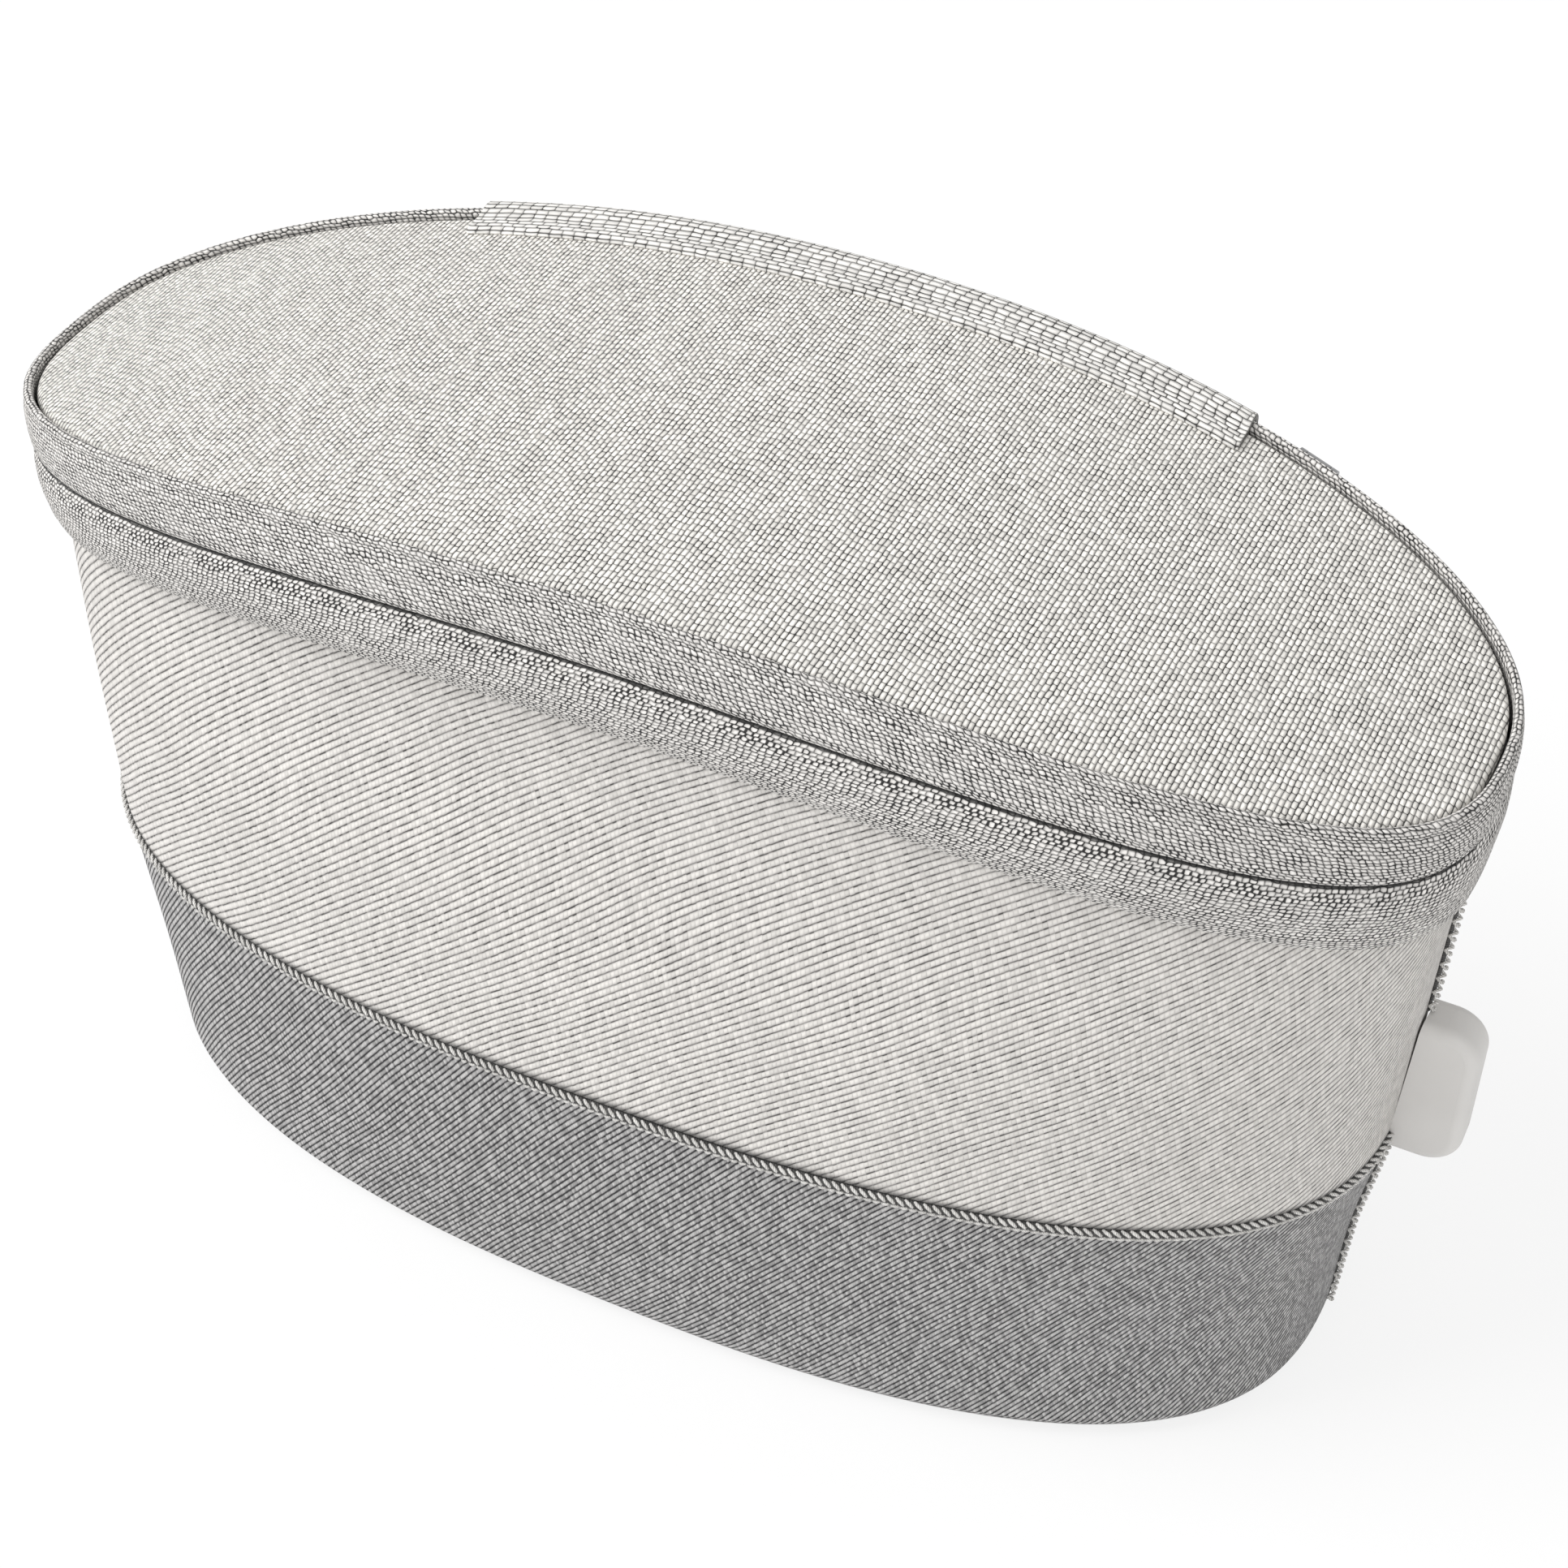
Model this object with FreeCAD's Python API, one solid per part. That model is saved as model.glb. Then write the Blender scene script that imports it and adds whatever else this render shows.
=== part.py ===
import FreeCAD, Part
import functools
import math
import os

Vector = FreeCAD.Vector

# Soft zip-top sterilizer bag, millimetres. X runs along the bag, the front faces -Y,
# Z is up, and the origin is the middle of the underside.

# Mouth of the bag, measured along the zip line
mouth_half_length = 109.0
mouth_half_width = 44.0
mouth_power = 2.55
zip_height_at_ends = 117.0
zip_arch = 18.0
zip_gap = 0.7

# Sewn seam between the two wraps
seam_height_at_ends = 51.0
seam_arch = 5.8
seam_power = 2.3

# Outlines of the bag below the mouth: how much longer and wider than the mouth they are
base_longer = -9.0
base_wider = 3.2
base_power = 2.5
base_round = 5.0
least_round = 0.5
flank_longer = -7.8
flank_wider = 5.6
seam_longer = -4.7
seam_wider = 6.8
chest_longer = -3.2
chest_wider = 2.6
shoulder_longer = -2.2
shoulder_wider = -3.7
shoulder_drop = 9.0
form_spare = 3.0

base_half_length = mouth_half_length + base_longer
base_half_width = mouth_half_width + base_wider
seam_half_length = mouth_half_length + seam_longer
seam_half_width = mouth_half_width + seam_wider
seam_level = seam_height_at_ends + 0.5 * seam_arch
flank_height = 0.5 * seam_level
shoulder_height = zip_height_at_ends - shoulder_drop
chest_height = 0.5 * (seam_level + shoulder_height)
form_height = zip_height_at_ends + zip_arch + form_spare

# Layers of the wall, from the outside in
fabric = 1.0
wrap_lift = 0.3
foam = 3.0
liner = 0.6
layer_gap = 0.1
lead_room = 1.2
lead_thickness = 0.8
lead_width = 4.0
lead_back_lift = 3.3
lead_front_drop = 6.6

# Zip band
tape_thickness = 1.2
tape_bulge = 0.35
tape_drop = 13.0
tape_inset = 2.3
tape_end_inset = 0.8
tape_rise = 12.5
hem_height = 0.5
coil_depth = 1.2
coil_height = 0.95
coil_gap = 1.0
wire_depth = 1.2
wire_height = 1.2
wrap_top_drop = 5.5
foam_top_drop = 2.0

# Lid
lid_rise = 7.0
lid_slope = 0.07
lid_fabric = 1.2
lid_foam = 3.0
lid_inset = 2.2
lid_core_inset = 5.2
magnet_radius = 4.0
magnet_thickness = 2.2
magnet_setback = 11.0

# Fabric hinge on the back edge
hinge_end_room = 49.5
hinge_thickness = 1.2
hinge_clearance = 0.55
hinge_overlap = 7.0
hinge_join = 0.4
hinge_split_above = 0.3
hinge_split_below = 1.5
hinge_drop = 9.0

# Piping, side seam and grip tab
piping_radius = 0.9
piping_clearance = 0.15
seam_proud = 0.2
seam_tape_gap = 0.45
seam_tape_width = 3.2
seam_tape_thickness = 0.9
seam_tape_foot = 7.0
tab_height = 27.2
tab_reach = 10.2
tab_thickness = 7.0
tab_corner = 5.5
tab_edge_round = 1.8
tab_below_seam = 2.7
tab_root = 3.0

# Base tray, battery and rack inside the bag
panel_margin = 10.0
tray_margin = 7.5
tray_height = 7.2
tray_wall = 1.8
tray_floor = 1.5
battery_length = 70.0
battery_width = 38.0
battery_height = 5.0
battery_round = 3.0
pocket_clearance = 0.4
rack_margin = 23.8
rack_half_width = 19.0
rack_power = 3.2
rack_plate = 3.0
rack_draft = 0.8
rib_end_room = 16.0
rib_thickness = 4.6
rib_half_base = 15.0
rib_finger = 3.4
rib_slope_top = 1.2
rib_tip_taper = 0.4
notch_width = 10.6
notch_height = 26.0
finger_height = 33.5
screw_radius = 1.4
screw_head_radius = 2.7
screw_head_height = 1.8
screw_clearance = 0.1
screw_post_radius = 3.4
rack_screw_room = 10.0
rack_screw_y = 9.0

# Four light modules, two on each long wall
led_end_room = 65.0
led_above_chest = 2.0
led_chip_width = 2.9
led_chip_height = 2.4
led_chip_thickness = 0.9
led_board_size = 13.0
led_board_thickness = 1.0
led_boss_radius = 5.5
led_flange_radius = 8.0
led_flange_thickness = 1.3
led_flange_lift = 0.8
led_window_radius = 4.0
led_window_thickness = 1.0
led_lip = 0.8
led_board_depth = 2.3
led_clearance = 0.15

# Control panel low on the back wall
panel_half_length = 27.0
panel_radius = 11.0
panel_thickness = 1.9
panel_proud = 0.9
panel_boss_inset = 3.0
panel_boss_depth = 8.9
panel_clearance = 0.3
button_offset = -12.0
button_radius = 5.45
button_flange = 0.75
button_clearance = 0.1
button_proud = 0.7
button_dome = 0.5
button_seat_depth = 2.0
button_travel = 0.7
button_skirt = 3.3
status_offset = 1.0
status_radius = 1.4
status_proud = 0.2
socket_offset = 14.0
socket_width = 9.0
socket_height = 3.2
socket_wall = 0.3
socket_depth = 7.4
socket_recess = 0.3
socket_tongue = 0.7
circuit_length = 46.0
circuit_height = 17.0
circuit_thickness = 1.6
switch_size = 6.0
switch_height = 3.4
plunger_radius = 1.65
plunger_depth = 0.7
plunger_gap = 0.02
circuit_corner = 1.0
circuit_screw_x = 20.0
circuit_screw_radius = 1.05
circuit_screw_head = 1.2
circuit_screw_grip = 3.6
box_half_length = 27.0
box_height = 24.0
box_floor_room = 1.45
box_corner = 5.0
box_wall = 1.4
box_gap = 2.0
box_depth = 7.0

# Lid sensor in the front wall
sensor_length = 14.0
sensor_height = 4.0
sensor_drop = 9.0
sensor_inset = 2.3
sensor_clearance = 0.3

# Zip slider, its pull and the end stops
slider_room = 8.5
slider_length = 9.0
slider_half_height = 2.7
slider_lift = 0.75
slider_plate = 1.4
slider_post_length = 4.0
slider_post_gap = 0.15
slider_back_gap = 0.6
slider_back_plate = 0.8
slider_back_x = 4.0
slider_back_y = 3.0
slider_corner = 2.0
slider_edge = 0.5
slider_join = 0.1
bail_pin_radius = 0.7
bail_pin_lift = 1.5
bail_ear = 1.0
pull_eye_width = 3.8
pull_fit = 0.06
pull_ear_gap = 0.2
pull_neck_length = 9.0
pull_blade_length = 17.5
pull_blade_drop = 16.3
pull_width = 7.0
pull_thickness = 1.4
pull_slot_drop = 19.5
pull_slot_length = 8.0
pull_slot_width = 3.0
stop_room = 2.0
stop_length = 2.2
stop_height = 2.2
stop_thickness = 1.2

# Points on each oval, and how far cutting shapes reach past what they cut
outline_points = 24
through = 15.0
overcut = 1.0
far = 300.0


def oval_point(half_length, half_width, power, turn):
    """A point of a rounded oval, |x/a|^n + |y/b|^n = 1."""
    c = math.cos(turn)
    s = math.sin(turn)
    size = (abs(c) ** power + abs(s) ** power) ** (-1.0 / power)
    return half_length * size * c, half_width * size * s


def arch_height(end_height, arch, x):
    return end_height + arch * (1.0 - (x / mouth_half_length) ** 2)


def oval_wire(half_length, half_width, power, end_height, arch=0.0):
    """Closed outline, level or arched along its length."""
    points = []
    for i in range(outline_points):
        x, y = oval_point(half_length, half_width, power, 2.0 * math.pi * i / outline_points)
        points.append(Vector(x, y, arch_height(end_height, arch, x)))
    curve = Part.BSplineCurve()
    curve.interpolate(points, PeriodicFlag=True)
    return Part.Wire([curve.toShape()])


def oval_prism(half_length, half_width, power, low, high):
    face = Part.Face(oval_wire(half_length, half_width, power, low))
    return face.extrude(Vector(0, 0, high - low))


def under_arch(end_height, arch, slope=0.0):
    """Everything below a surface arched along X and sloping down towards the back."""
    reach = mouth_half_length * 1.5
    end = arch_height(end_height, arch, reach) + slope * reach
    crown = end_height + arch + slope * reach
    left = Vector(-reach, -reach, end)
    right = Vector(reach, -reach, end)
    control = Vector(0, -reach, 2.0 * crown - end)
    curve = Part.BezierCurve()
    curve.setPoles([left, control, right])
    low_right = Vector(reach, -reach, -far)
    low_left = Vector(-reach, -reach, -far)
    edges = [curve.toShape(), Part.makeLine(right, low_right)]
    edges += [Part.makeLine(low_right, low_left), Part.makeLine(low_left, left)]
    face = Part.Face(Part.Wire(edges))
    return face.extrude(Vector(0, 2.0 * reach, -2.0 * reach * slope))


def under_zip(offset):
    return under_arch(zip_height_at_ends + offset, zip_arch)


def under_lid_top(offset):
    return under_arch(zip_height_at_ends + lid_rise + offset, zip_arch, lid_slope)


def form_wire(level, longer, wider, power, inset, arch=0.0):
    """Outline of the bag, this much longer and wider than the mouth, moved in by one inset."""
    half_length = mouth_half_length + longer - inset
    half_width = mouth_half_width + wider - inset
    return oval_wire(half_length, half_width, power, level, arch)


def base_wires(inset, floor):
    """Rounded lower edge of the bag's form, from the floor up."""
    radius = max(base_round - inset, least_round)
    wires = []
    for turn in (90, 45, 0) if radius > least_round else (90, 0):
        draw_in = radius * (1.0 - math.cos(math.radians(turn)))
        level = floor + radius * (1.0 - math.sin(math.radians(turn)))
        wires.append(form_wire(level, base_longer - draw_in, base_wider - draw_in, base_power, inset))
    return wires


def flank_wire(inset):
    return form_wire(flank_height, flank_longer, flank_wider, 0.5 * (base_power + seam_power), inset)


def chest_wire(inset):
    return form_wire(chest_height, chest_longer, chest_wider, 0.5 * (seam_power + mouth_power), inset)


def shoulder_wire(inset, level, arch=0.0):
    return form_wire(level, shoulder_longer, shoulder_wider, mouth_power, inset, arch)


@functools.cache
def bag_form(inset, floor):
    """The bag's outer form moved in by one inset, standing on its floor height."""
    wires = base_wires(inset, floor)
    wires.append(flank_wire(inset))
    wires.append(form_wire(seam_level, seam_longer, seam_wider, seam_power, inset))
    wires.append(chest_wire(inset))
    wires.append(shoulder_wire(inset, shoulder_height))
    wires.append(shoulder_wire(inset, form_height))
    return Part.makeLoft(wires, True, True)


def bag_layer(outer_inset, thickness, floor):
    """One wrap of the wall with its floor."""
    outside = bag_form(outer_inset, floor)
    inside = bag_form(outer_inset + thickness, floor + thickness)
    return outside.cut(inside)


def mouth_loft(profile):
    """Band round the mouth: a closed profile of (end offset, side offset, height) from the zip line."""
    wires = []
    for end, side, height in profile:
        wires.append(oval_wire(mouth_half_length + end, mouth_half_width + side, mouth_power,
                               zip_height_at_ends + height, zip_arch))
    return Part.makeLoft(wires, True, True, True)


def mouth_ring(outer, inner, low, high):
    """Ring that follows the mouth, between two offsets and two heights from the zip line."""
    corners = [(outer, low), (outer, high), (inner, high), (inner, low)]
    return mouth_loft([(offset, offset, height) for offset, height in corners])


def slab(x0, x1, y0, y1, z0, z1):
    return Part.makeBox(x1 - x0, y1 - y0, z1 - z0, Vector(x0, y0, z0))


def frame_at(point, normal):
    """Placement with local Z on a wall's normal and local X level along the wall."""
    z = Vector(normal).normalize()
    x = Vector(0, 0, 1).cross(z).normalize()
    y = z.cross(x)
    return FreeCAD.Placement(point, FreeCAD.Rotation(x, y, z, "ZXY"))


def wall_frame(form, x, z, side, inward):
    """Where a level line from the middle meets the wall, facing in or out."""
    line = Part.makeLine(Vector(x, 0, z), Vector(x, side * far, z))
    point = max((v.Point for v in form.common(line).Vertexes), key=lambda p: side * p.y)
    near = Part.Vertex(point)
    face = min(form.Faces, key=lambda f: f.distToShape(near)[0])
    u, v = face.Surface.parameter(point)
    normal = face.normalAt(u, v)
    if normal.y * side > 0 and inward or normal.y * side < 0 and not inward:
        normal = normal.negative()
    return frame_at(point, normal)


def revolve(points):
    """Solid of revolution about local Z from (radius, height) points."""
    corners = [Vector(r, 0, z) for r, z in points]
    wire = Part.makePolygon(corners + corners[:1])
    return Part.Face(wire).revolve(Vector(0, 0, 0), Vector(0, 0, 1), 360)


def rod(radius, low, high, x=0.0, y=0.0):
    return Part.makeCylinder(radius, high - low, Vector(x, y, low))


def stadium(half_length, radius, low, high):
    """Flat bar with round ends, along local X."""
    straight = half_length - radius
    bar = slab(-straight, straight, -radius, radius, low, high)
    ends = [rod(radius, low, high, x) for x in (-straight, straight)]
    return bar.multiFuse(ends).removeSplitter()


def rounded_block(length, width, corner, low, high):
    block = slab(-length / 2, length / 2, -width / 2, width / 2, low, high)
    upright = [e for e in block.Edges if abs(e.BoundBox.ZLength - (high - low)) < 1e-6]
    return block.makeFillet(corner, upright)


def placed(shape, placement):
    moved = shape.copy()
    moved.Placement = placement.multiply(shape.Placement)
    return moved


# Places that follow the bag's size
hinge_half_width = mouth_half_length - hinge_end_room
stop_place = hinge_half_width + stop_room
slider_place = hinge_half_width + slider_room
rack_half_length = base_half_length - rack_margin
rib_spacing = rack_half_length - rib_end_room
rack_screw_x = rack_half_length - rack_screw_room
led_spacing = mouth_half_length - led_end_room
led_height = chest_height + led_above_chest

# Heights of the stack on the floor
foam_inset = fabric + layer_gap
lead_inset = foam_inset + foam + 0.5 * (lead_room - lead_thickness)
liner_inset = foam_inset + foam + lead_room
liner_depth = liner_inset + liner
foam_floor = wrap_lift + foam_inset
tray_low = foam_floor + foam + layer_gap
tray_top = tray_low + tray_height
lead_floor = tray_top + 0.5 * (lead_room - lead_thickness)
liner_floor = tray_top + lead_room
rack_floor = liner_floor + liner + layer_gap
panel_height = liner_floor + liner + box_floor_room + 0.5 * box_height


def light_frames():
    """Named places of the four lights on the liner's inner face."""
    form = bag_form(liner_depth, liner_floor + liner)
    frames = {}
    for side, wall in ((-1, "front"), (1, "back")):
        for x, end in ((-led_spacing, "left"), (led_spacing, "right")):
            frames[wall + "_" + end] = wall_frame(form, x, led_height, side, True)
    return frames


def panel_frame():
    return wall_frame(bag_form(0.0, 0.0), 0.0, panel_height, 1, False)


def panel_shape(extra, low, high):
    return stadium(panel_half_length + extra, panel_radius + extra, low, high)


def panel_boss(extra, low, high):
    return panel_shape(extra - panel_boss_inset, low, high)


def seam_edge(inset, side):
    """Edge of a wrap at the piping, above (+1) or below (-1) it, standing a little proud."""
    level = seam_height_at_ends + side * (piping_radius + piping_clearance)
    return form_wire(level, seam_longer, seam_wider, seam_power, inset - seam_proud, seam_arch)


def upper_wrap():
    """Light wrap from the seam up to under the zip band."""
    sides = []
    for inset in (0.0, fabric):
        top = shoulder_wire(inset, zip_height_at_ends - wrap_top_drop, zip_arch)
        sides.append([seam_edge(inset, 1), chest_wire(inset), shoulder_wire(inset, shoulder_height), top])
    return Part.makeLoft(sides[0] + sides[1][::-1], True, True, True)


def lower_wrap(panel):
    """Dark wrap from the seam down and round the lower edge, open underneath."""
    sides = []
    for inset in (0.0, fabric):
        floor = wrap_lift + inset
        hole = form_wire(floor, base_longer, base_wider, base_power, panel_margin)
        sides.append([hole] + base_wires(inset, floor) + [flank_wire(inset), seam_edge(inset, -1)])
    wrap = Part.makeLoft(sides[0] + sides[1][::-1], True, True, True)
    return wrap.cut(placed(panel_shape(panel_clearance, -through, through), panel))


def bottom_panel():
    """Panel sewn into the opening of the lower wrap; the bag stands on it."""
    inset = panel_margin + layer_gap
    top = wrap_lift + fabric
    return oval_prism(base_half_length - inset, base_half_width - inset, base_power, 0.0, top)


def sensor_block(extra):
    """Slice of the front wall near the mouth."""
    thickness = liner_inset - sensor_inset - layer_gap
    layer = bag_layer(sensor_inset - extra, thickness + extra, tray_top)
    crown = zip_height_at_ends + zip_arch - sensor_drop
    half = 0.5 * sensor_length + extra
    low = crown - 0.5 * sensor_height - extra
    high = crown + 0.5 * sensor_height + extra
    return layer.common(slab(-half, half, -far, 0.0, low, high))


def foam_shell(panel, lights):
    shell = bag_layer(foam_inset, foam, foam_floor).common(under_zip(-foam_top_drop))
    recess_floor = panel_proud - panel_thickness - panel_clearance
    depth = led_board_depth + led_board_thickness + led_clearance
    half = 0.5 * led_board_size + led_clearance
    pocket = slab(-half, half, -half, half, -depth, through)
    cutters = [placed(panel_shape(panel_clearance, recess_floor, through), panel),
               placed(panel_boss(panel_clearance, -through, through), panel),
               sensor_block(sensor_clearance)]
    cutters += [placed(pocket, place) for place in lights.values()]
    for cutter in cutters:
        shell = shell.cut(cutter)
    return shell


def inner_liner(panel, lights):
    sheet = bag_layer(liner_inset, liner, liner_floor).common(under_zip(-foam_top_drop))
    cutters = [placed(panel_boss(panel_clearance, -through, through), panel)]
    hole = rod(led_boss_radius + led_clearance, -through, through)
    cutters += [placed(hole, place) for place in lights.values()]
    cutters += [rod(screw_radius + screw_clearance, 0.0, far, x, y) for x, y in rack_screw_places()]
    for cutter in cutters:
        sheet = sheet.cut(cutter)
    return sheet


def rack_screw_places():
    return [(sx * rack_screw_x, sy * rack_screw_y) for sx in (-1, 1) for sy in (-1, 1)]


def base_tray():
    """Shallow moulded tray with a battery pocket, cross ribs and screw posts."""
    a = base_half_length - tray_margin
    b = base_half_width - tray_margin
    floor = tray_low + tray_floor
    tray = oval_prism(a, b, base_power, tray_low, tray_top)
    tray = tray.cut(oval_prism(a - tray_wall, b - tray_wall, base_power, floor, tray_top + overcut))
    rib_low = tray_low + 0.5 * tray_floor
    rib_high = tray_top - pocket_clearance
    x = 0.5 * battery_length + pocket_clearance
    y = 0.5 * battery_width + pocket_clearance
    w = tray_wall
    pocket = slab(-x - w, x + w, -y - w, y + w, rib_low, rib_high)
    extras = [pocket.cut(slab(-x, x, -y, y, rib_low, rib_high))]
    for sign in (-1, 1):
        near = sign * (x + 0.5 * w)
        away = sign * (a - 0.5 * w)
        extras.append(slab(min(near, away), max(near, away), -0.5 * w, 0.5 * w, rib_low, rib_high))
    extras += [rod(screw_post_radius, rib_low, tray_top, px, py) for px, py in rack_screw_places()]
    tray = tray.multiFuse(extras)
    for px, py in rack_screw_places():
        tray = tray.cut(rod(screw_radius + screw_clearance, floor, tray_top + overcut, px, py))
    return tray.removeSplitter()


def battery_pack():
    low = tray_low + tray_floor + layer_gap
    return rounded_block(battery_length, battery_width, battery_round, low, low + battery_height)


def rack_rib(x):
    """Upright rib with two fingers and a round-bottomed notch between them."""
    low = rack_floor + 0.5 * rack_plate
    inner = 0.5 * notch_width
    outer = inner + rib_finger - rib_tip_taper
    tip = finger_height - rib_slope_top
    shoulder = notch_height + 0.5 * inner

    def at(y, z):
        return Vector(x - 0.5 * rib_thickness, y, z)

    def cap(side):
        crown = at(side * 0.5 * (inner + outer), finger_height)
        return Part.Arc(at(side * inner, tip), crown, at(side * outer, tip)).toShape()

    notch = Part.Arc(at(-inner, shoulder), at(0.0, notch_height), at(inner, shoulder)).toShape()
    edges = [Part.makeLine(at(-rib_half_base, low), at(-outer, tip)), cap(-1)]
    edges += [Part.makeLine(at(-inner, tip), at(-inner, shoulder)), notch]
    edges += [Part.makeLine(at(inner, shoulder), at(inner, tip)), cap(1)]
    edges += [Part.makeLine(at(outer, tip), at(rib_half_base, low))]
    edges += [Part.makeLine(at(rib_half_base, low), at(-rib_half_base, low))]
    return Part.Face(Part.Wire(edges)).extrude(Vector(rib_thickness, 0, 0))


def device_rack():
    """Floor plate with three notched ribs that hold a flat device on its long edge."""
    wires = []
    for inset, z in ((0.0, rack_floor), (rack_draft, rack_floor + rack_plate)):
        wires.append(oval_wire(rack_half_length - inset, rack_half_width - inset, rack_power, z))
    plate = Part.makeLoft(wires, True, True)
    rack = plate.multiFuse([rack_rib(i * rib_spacing) for i in (-1, 0, 1)])
    for x, y in rack_screw_places():
        rack = rack.cut(rod(screw_radius + screw_clearance, 0.0, far, x, y))
    return rack.removeSplitter()


def rack_screws():
    head = rack_floor + rack_plate
    low = tray_low + tray_floor + layer_gap
    profile = [(0, low), (screw_radius, low), (screw_radius, head), (screw_head_radius, head),
               (screw_head_radius, head + 0.5 * screw_head_height),
               (0.6 * screw_head_radius, head + screw_head_height), (0, head + screw_head_height)]
    screw = revolve(profile)
    screws = []
    for x, y in rack_screw_places():
        screws.append(screw.translated(Vector(x, y, 0)))
    return Part.makeCompound(screws)


def light_module(place):
    """Bezel, window, chip and board of one light, local Z into the bag."""
    top = led_flange_lift + led_flange_thickness
    seat = top - led_lip
    foot = led_clearance - led_board_depth
    bore = led_window_radius + led_clearance
    bezel = revolve([(bore, foot), (led_boss_radius, foot), (led_boss_radius, led_flange_lift),
                     (led_flange_radius, led_flange_lift), (led_flange_radius, top - led_lip),
                     (led_flange_radius - led_lip, top), (bore - led_lip, top), (bore - led_lip, seat),
                     (bore, seat)])
    window_top = seat - 0.5 * layer_gap
    window = rod(led_window_radius, window_top - led_window_thickness, window_top)
    half = 0.5 * led_board_size
    board = slab(-half, half, -half, half, -led_board_depth - led_board_thickness, -led_board_depth)
    chip = slab(-0.5 * led_chip_width, 0.5 * led_chip_width, -0.5 * led_chip_height,
                0.5 * led_chip_height, -led_board_depth, led_chip_thickness - led_board_depth)
    pieces = {"uv_bezel": bezel, "uv_window": window, "uv_board": board, "uv_chip": chip}
    return {name: placed(shape, place) for name, shape in pieces.items()}


def light_leads():
    """Flat leads in the space between the foam and the liner."""
    layer = bag_layer(lead_inset, lead_thickness, lead_floor)
    half = 0.5 * lead_width
    top = led_height - led_flange_radius
    stop = panel_half_length - panel_boss_inset + 2.0 * panel_clearance
    leads = {}
    for sign, end in ((-1, "left"), (1, "right")):
        x0 = sign * led_spacing - half
        x1 = sign * led_spacing + half
        near = min(sign * stop, x0)
        away = max(sign * stop, x1)
        low = panel_height + lead_back_lift - half
        back = slab(x0, x1, 0, far, low, top)
        back = back.fuse(slab(near, away, 0, far, low, low + lead_width))
        low = panel_height - lead_front_drop - half
        front = slab(x0, x1, -far, 0, 0, top)
        front = front.fuse(slab(x0, x1, 0, far, 0, low + lead_width))
        front = front.fuse(slab(near, away, 0, far, low, low + lead_width))
        leads["uv_lead_back_" + end] = layer.common(back)
        leads["uv_lead_front_" + end] = layer.common(front)
    boss_low = panel_height - panel_radius + panel_boss_inset - 4.0 * panel_clearance
    leads["battery_lead"] = layer.common(slab(-half, half, 0.25 * battery_width, far, 0, boss_low))
    return leads


def control_panel():
    """Stadium plate with a boss through the wall, holes for what it carries, local Z outward."""
    front = panel_proud
    back = -panel_boss_depth
    panel = panel_shape(0.0, front - panel_thickness, front)
    rim = [e for e in panel.Edges if e.BoundBox.ZMin > front - 1e-3]
    panel = panel.makeChamfer(0.25 * panel_thickness, rim)
    panel = panel.fuse(panel_boss(0.0, back, front - 0.5 * panel_thickness))
    wide = button_radius + button_flange + button_clearance
    cutters = [rod(button_radius + button_clearance, -through, through, button_offset),
               rod(wide, -through, -button_seat_depth, button_offset),
               rod(status_radius + button_clearance, -through, through, status_offset)]
    slot = stadium(0.5 * socket_width + button_clearance, 0.5 * socket_height + button_clearance,
                   -through, through)
    cutters.append(slot.translated(Vector(socket_offset, 0, 0)))
    pilot = circuit_screw_radius + screw_clearance
    for x in (-circuit_screw_x, circuit_screw_x):
        cutters.append(rod(pilot, back - overcut, back + circuit_screw_grip + overcut, x))
    for cutter in cutters:
        panel = panel.cut(cutter)
    return panel


def circuit_pieces():
    """Board behind the panel with its screws, the push switch and the switch's plunger."""
    back = -panel_boss_depth
    front = back - layer_gap
    head = front - circuit_thickness
    board = rounded_block(circuit_length, circuit_height, circuit_corner, head, front)
    screws = []
    for x in (-circuit_screw_x, circuit_screw_x):
        board = board.cut(rod(circuit_screw_radius + screw_clearance, head, front, x))
        shank = rod(circuit_screw_radius, head, back + circuit_screw_grip, x)
        cap = rod(0.75 * screw_head_radius, head - circuit_screw_head, head, x)
        screws.append(shank.fuse(cap).removeSplitter())
    half = 0.5 * switch_size
    top = front + switch_height
    bore_floor = top - plunger_depth - button_travel - panel_clearance
    switch = slab(button_offset - half, button_offset + half, -half, half, front, top)
    switch = switch.cut(rod(plunger_radius + button_clearance, bore_floor, top, button_offset))
    plunger = rod(plunger_radius, top - plunger_depth, -button_skirt - plunger_gap, button_offset)
    return {"circuit_board": board, "circuit_screws": Part.makeCompound(screws),
            "tact_switch": switch, "switch_plunger": plunger}


def power_button():
    """Domed cap with a flange that keeps it behind the panel."""
    seat = -button_seat_depth - button_clearance
    top = panel_proud + button_proud
    edge = top - button_dome
    wide = button_radius + button_flange
    dome_radius = 0.5 * (button_radius ** 2 / button_dome + button_dome)
    middle = 0.5 * button_radius
    middle_height = top - dome_radius + math.sqrt(dome_radius ** 2 - middle ** 2)
    corners = [(0, top), (0, -button_skirt), (wide, -button_skirt), (wide, seat),
               (button_radius, seat), (button_radius, edge)]
    points = [Vector(r, 0, z) for r, z in corners]
    dome = Part.Arc(points[-1], Vector(middle, 0, middle_height), points[0]).toShape()
    edges = [Part.makeLine(a, b) for a, b in zip(points, points[1:])]
    cap = Part.Face(Part.Wire(edges + [dome])).revolve(Vector(0, 0, 0), Vector(0, 0, 1), 360)
    return cap.translated(Vector(button_offset, 0, 0))


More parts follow.
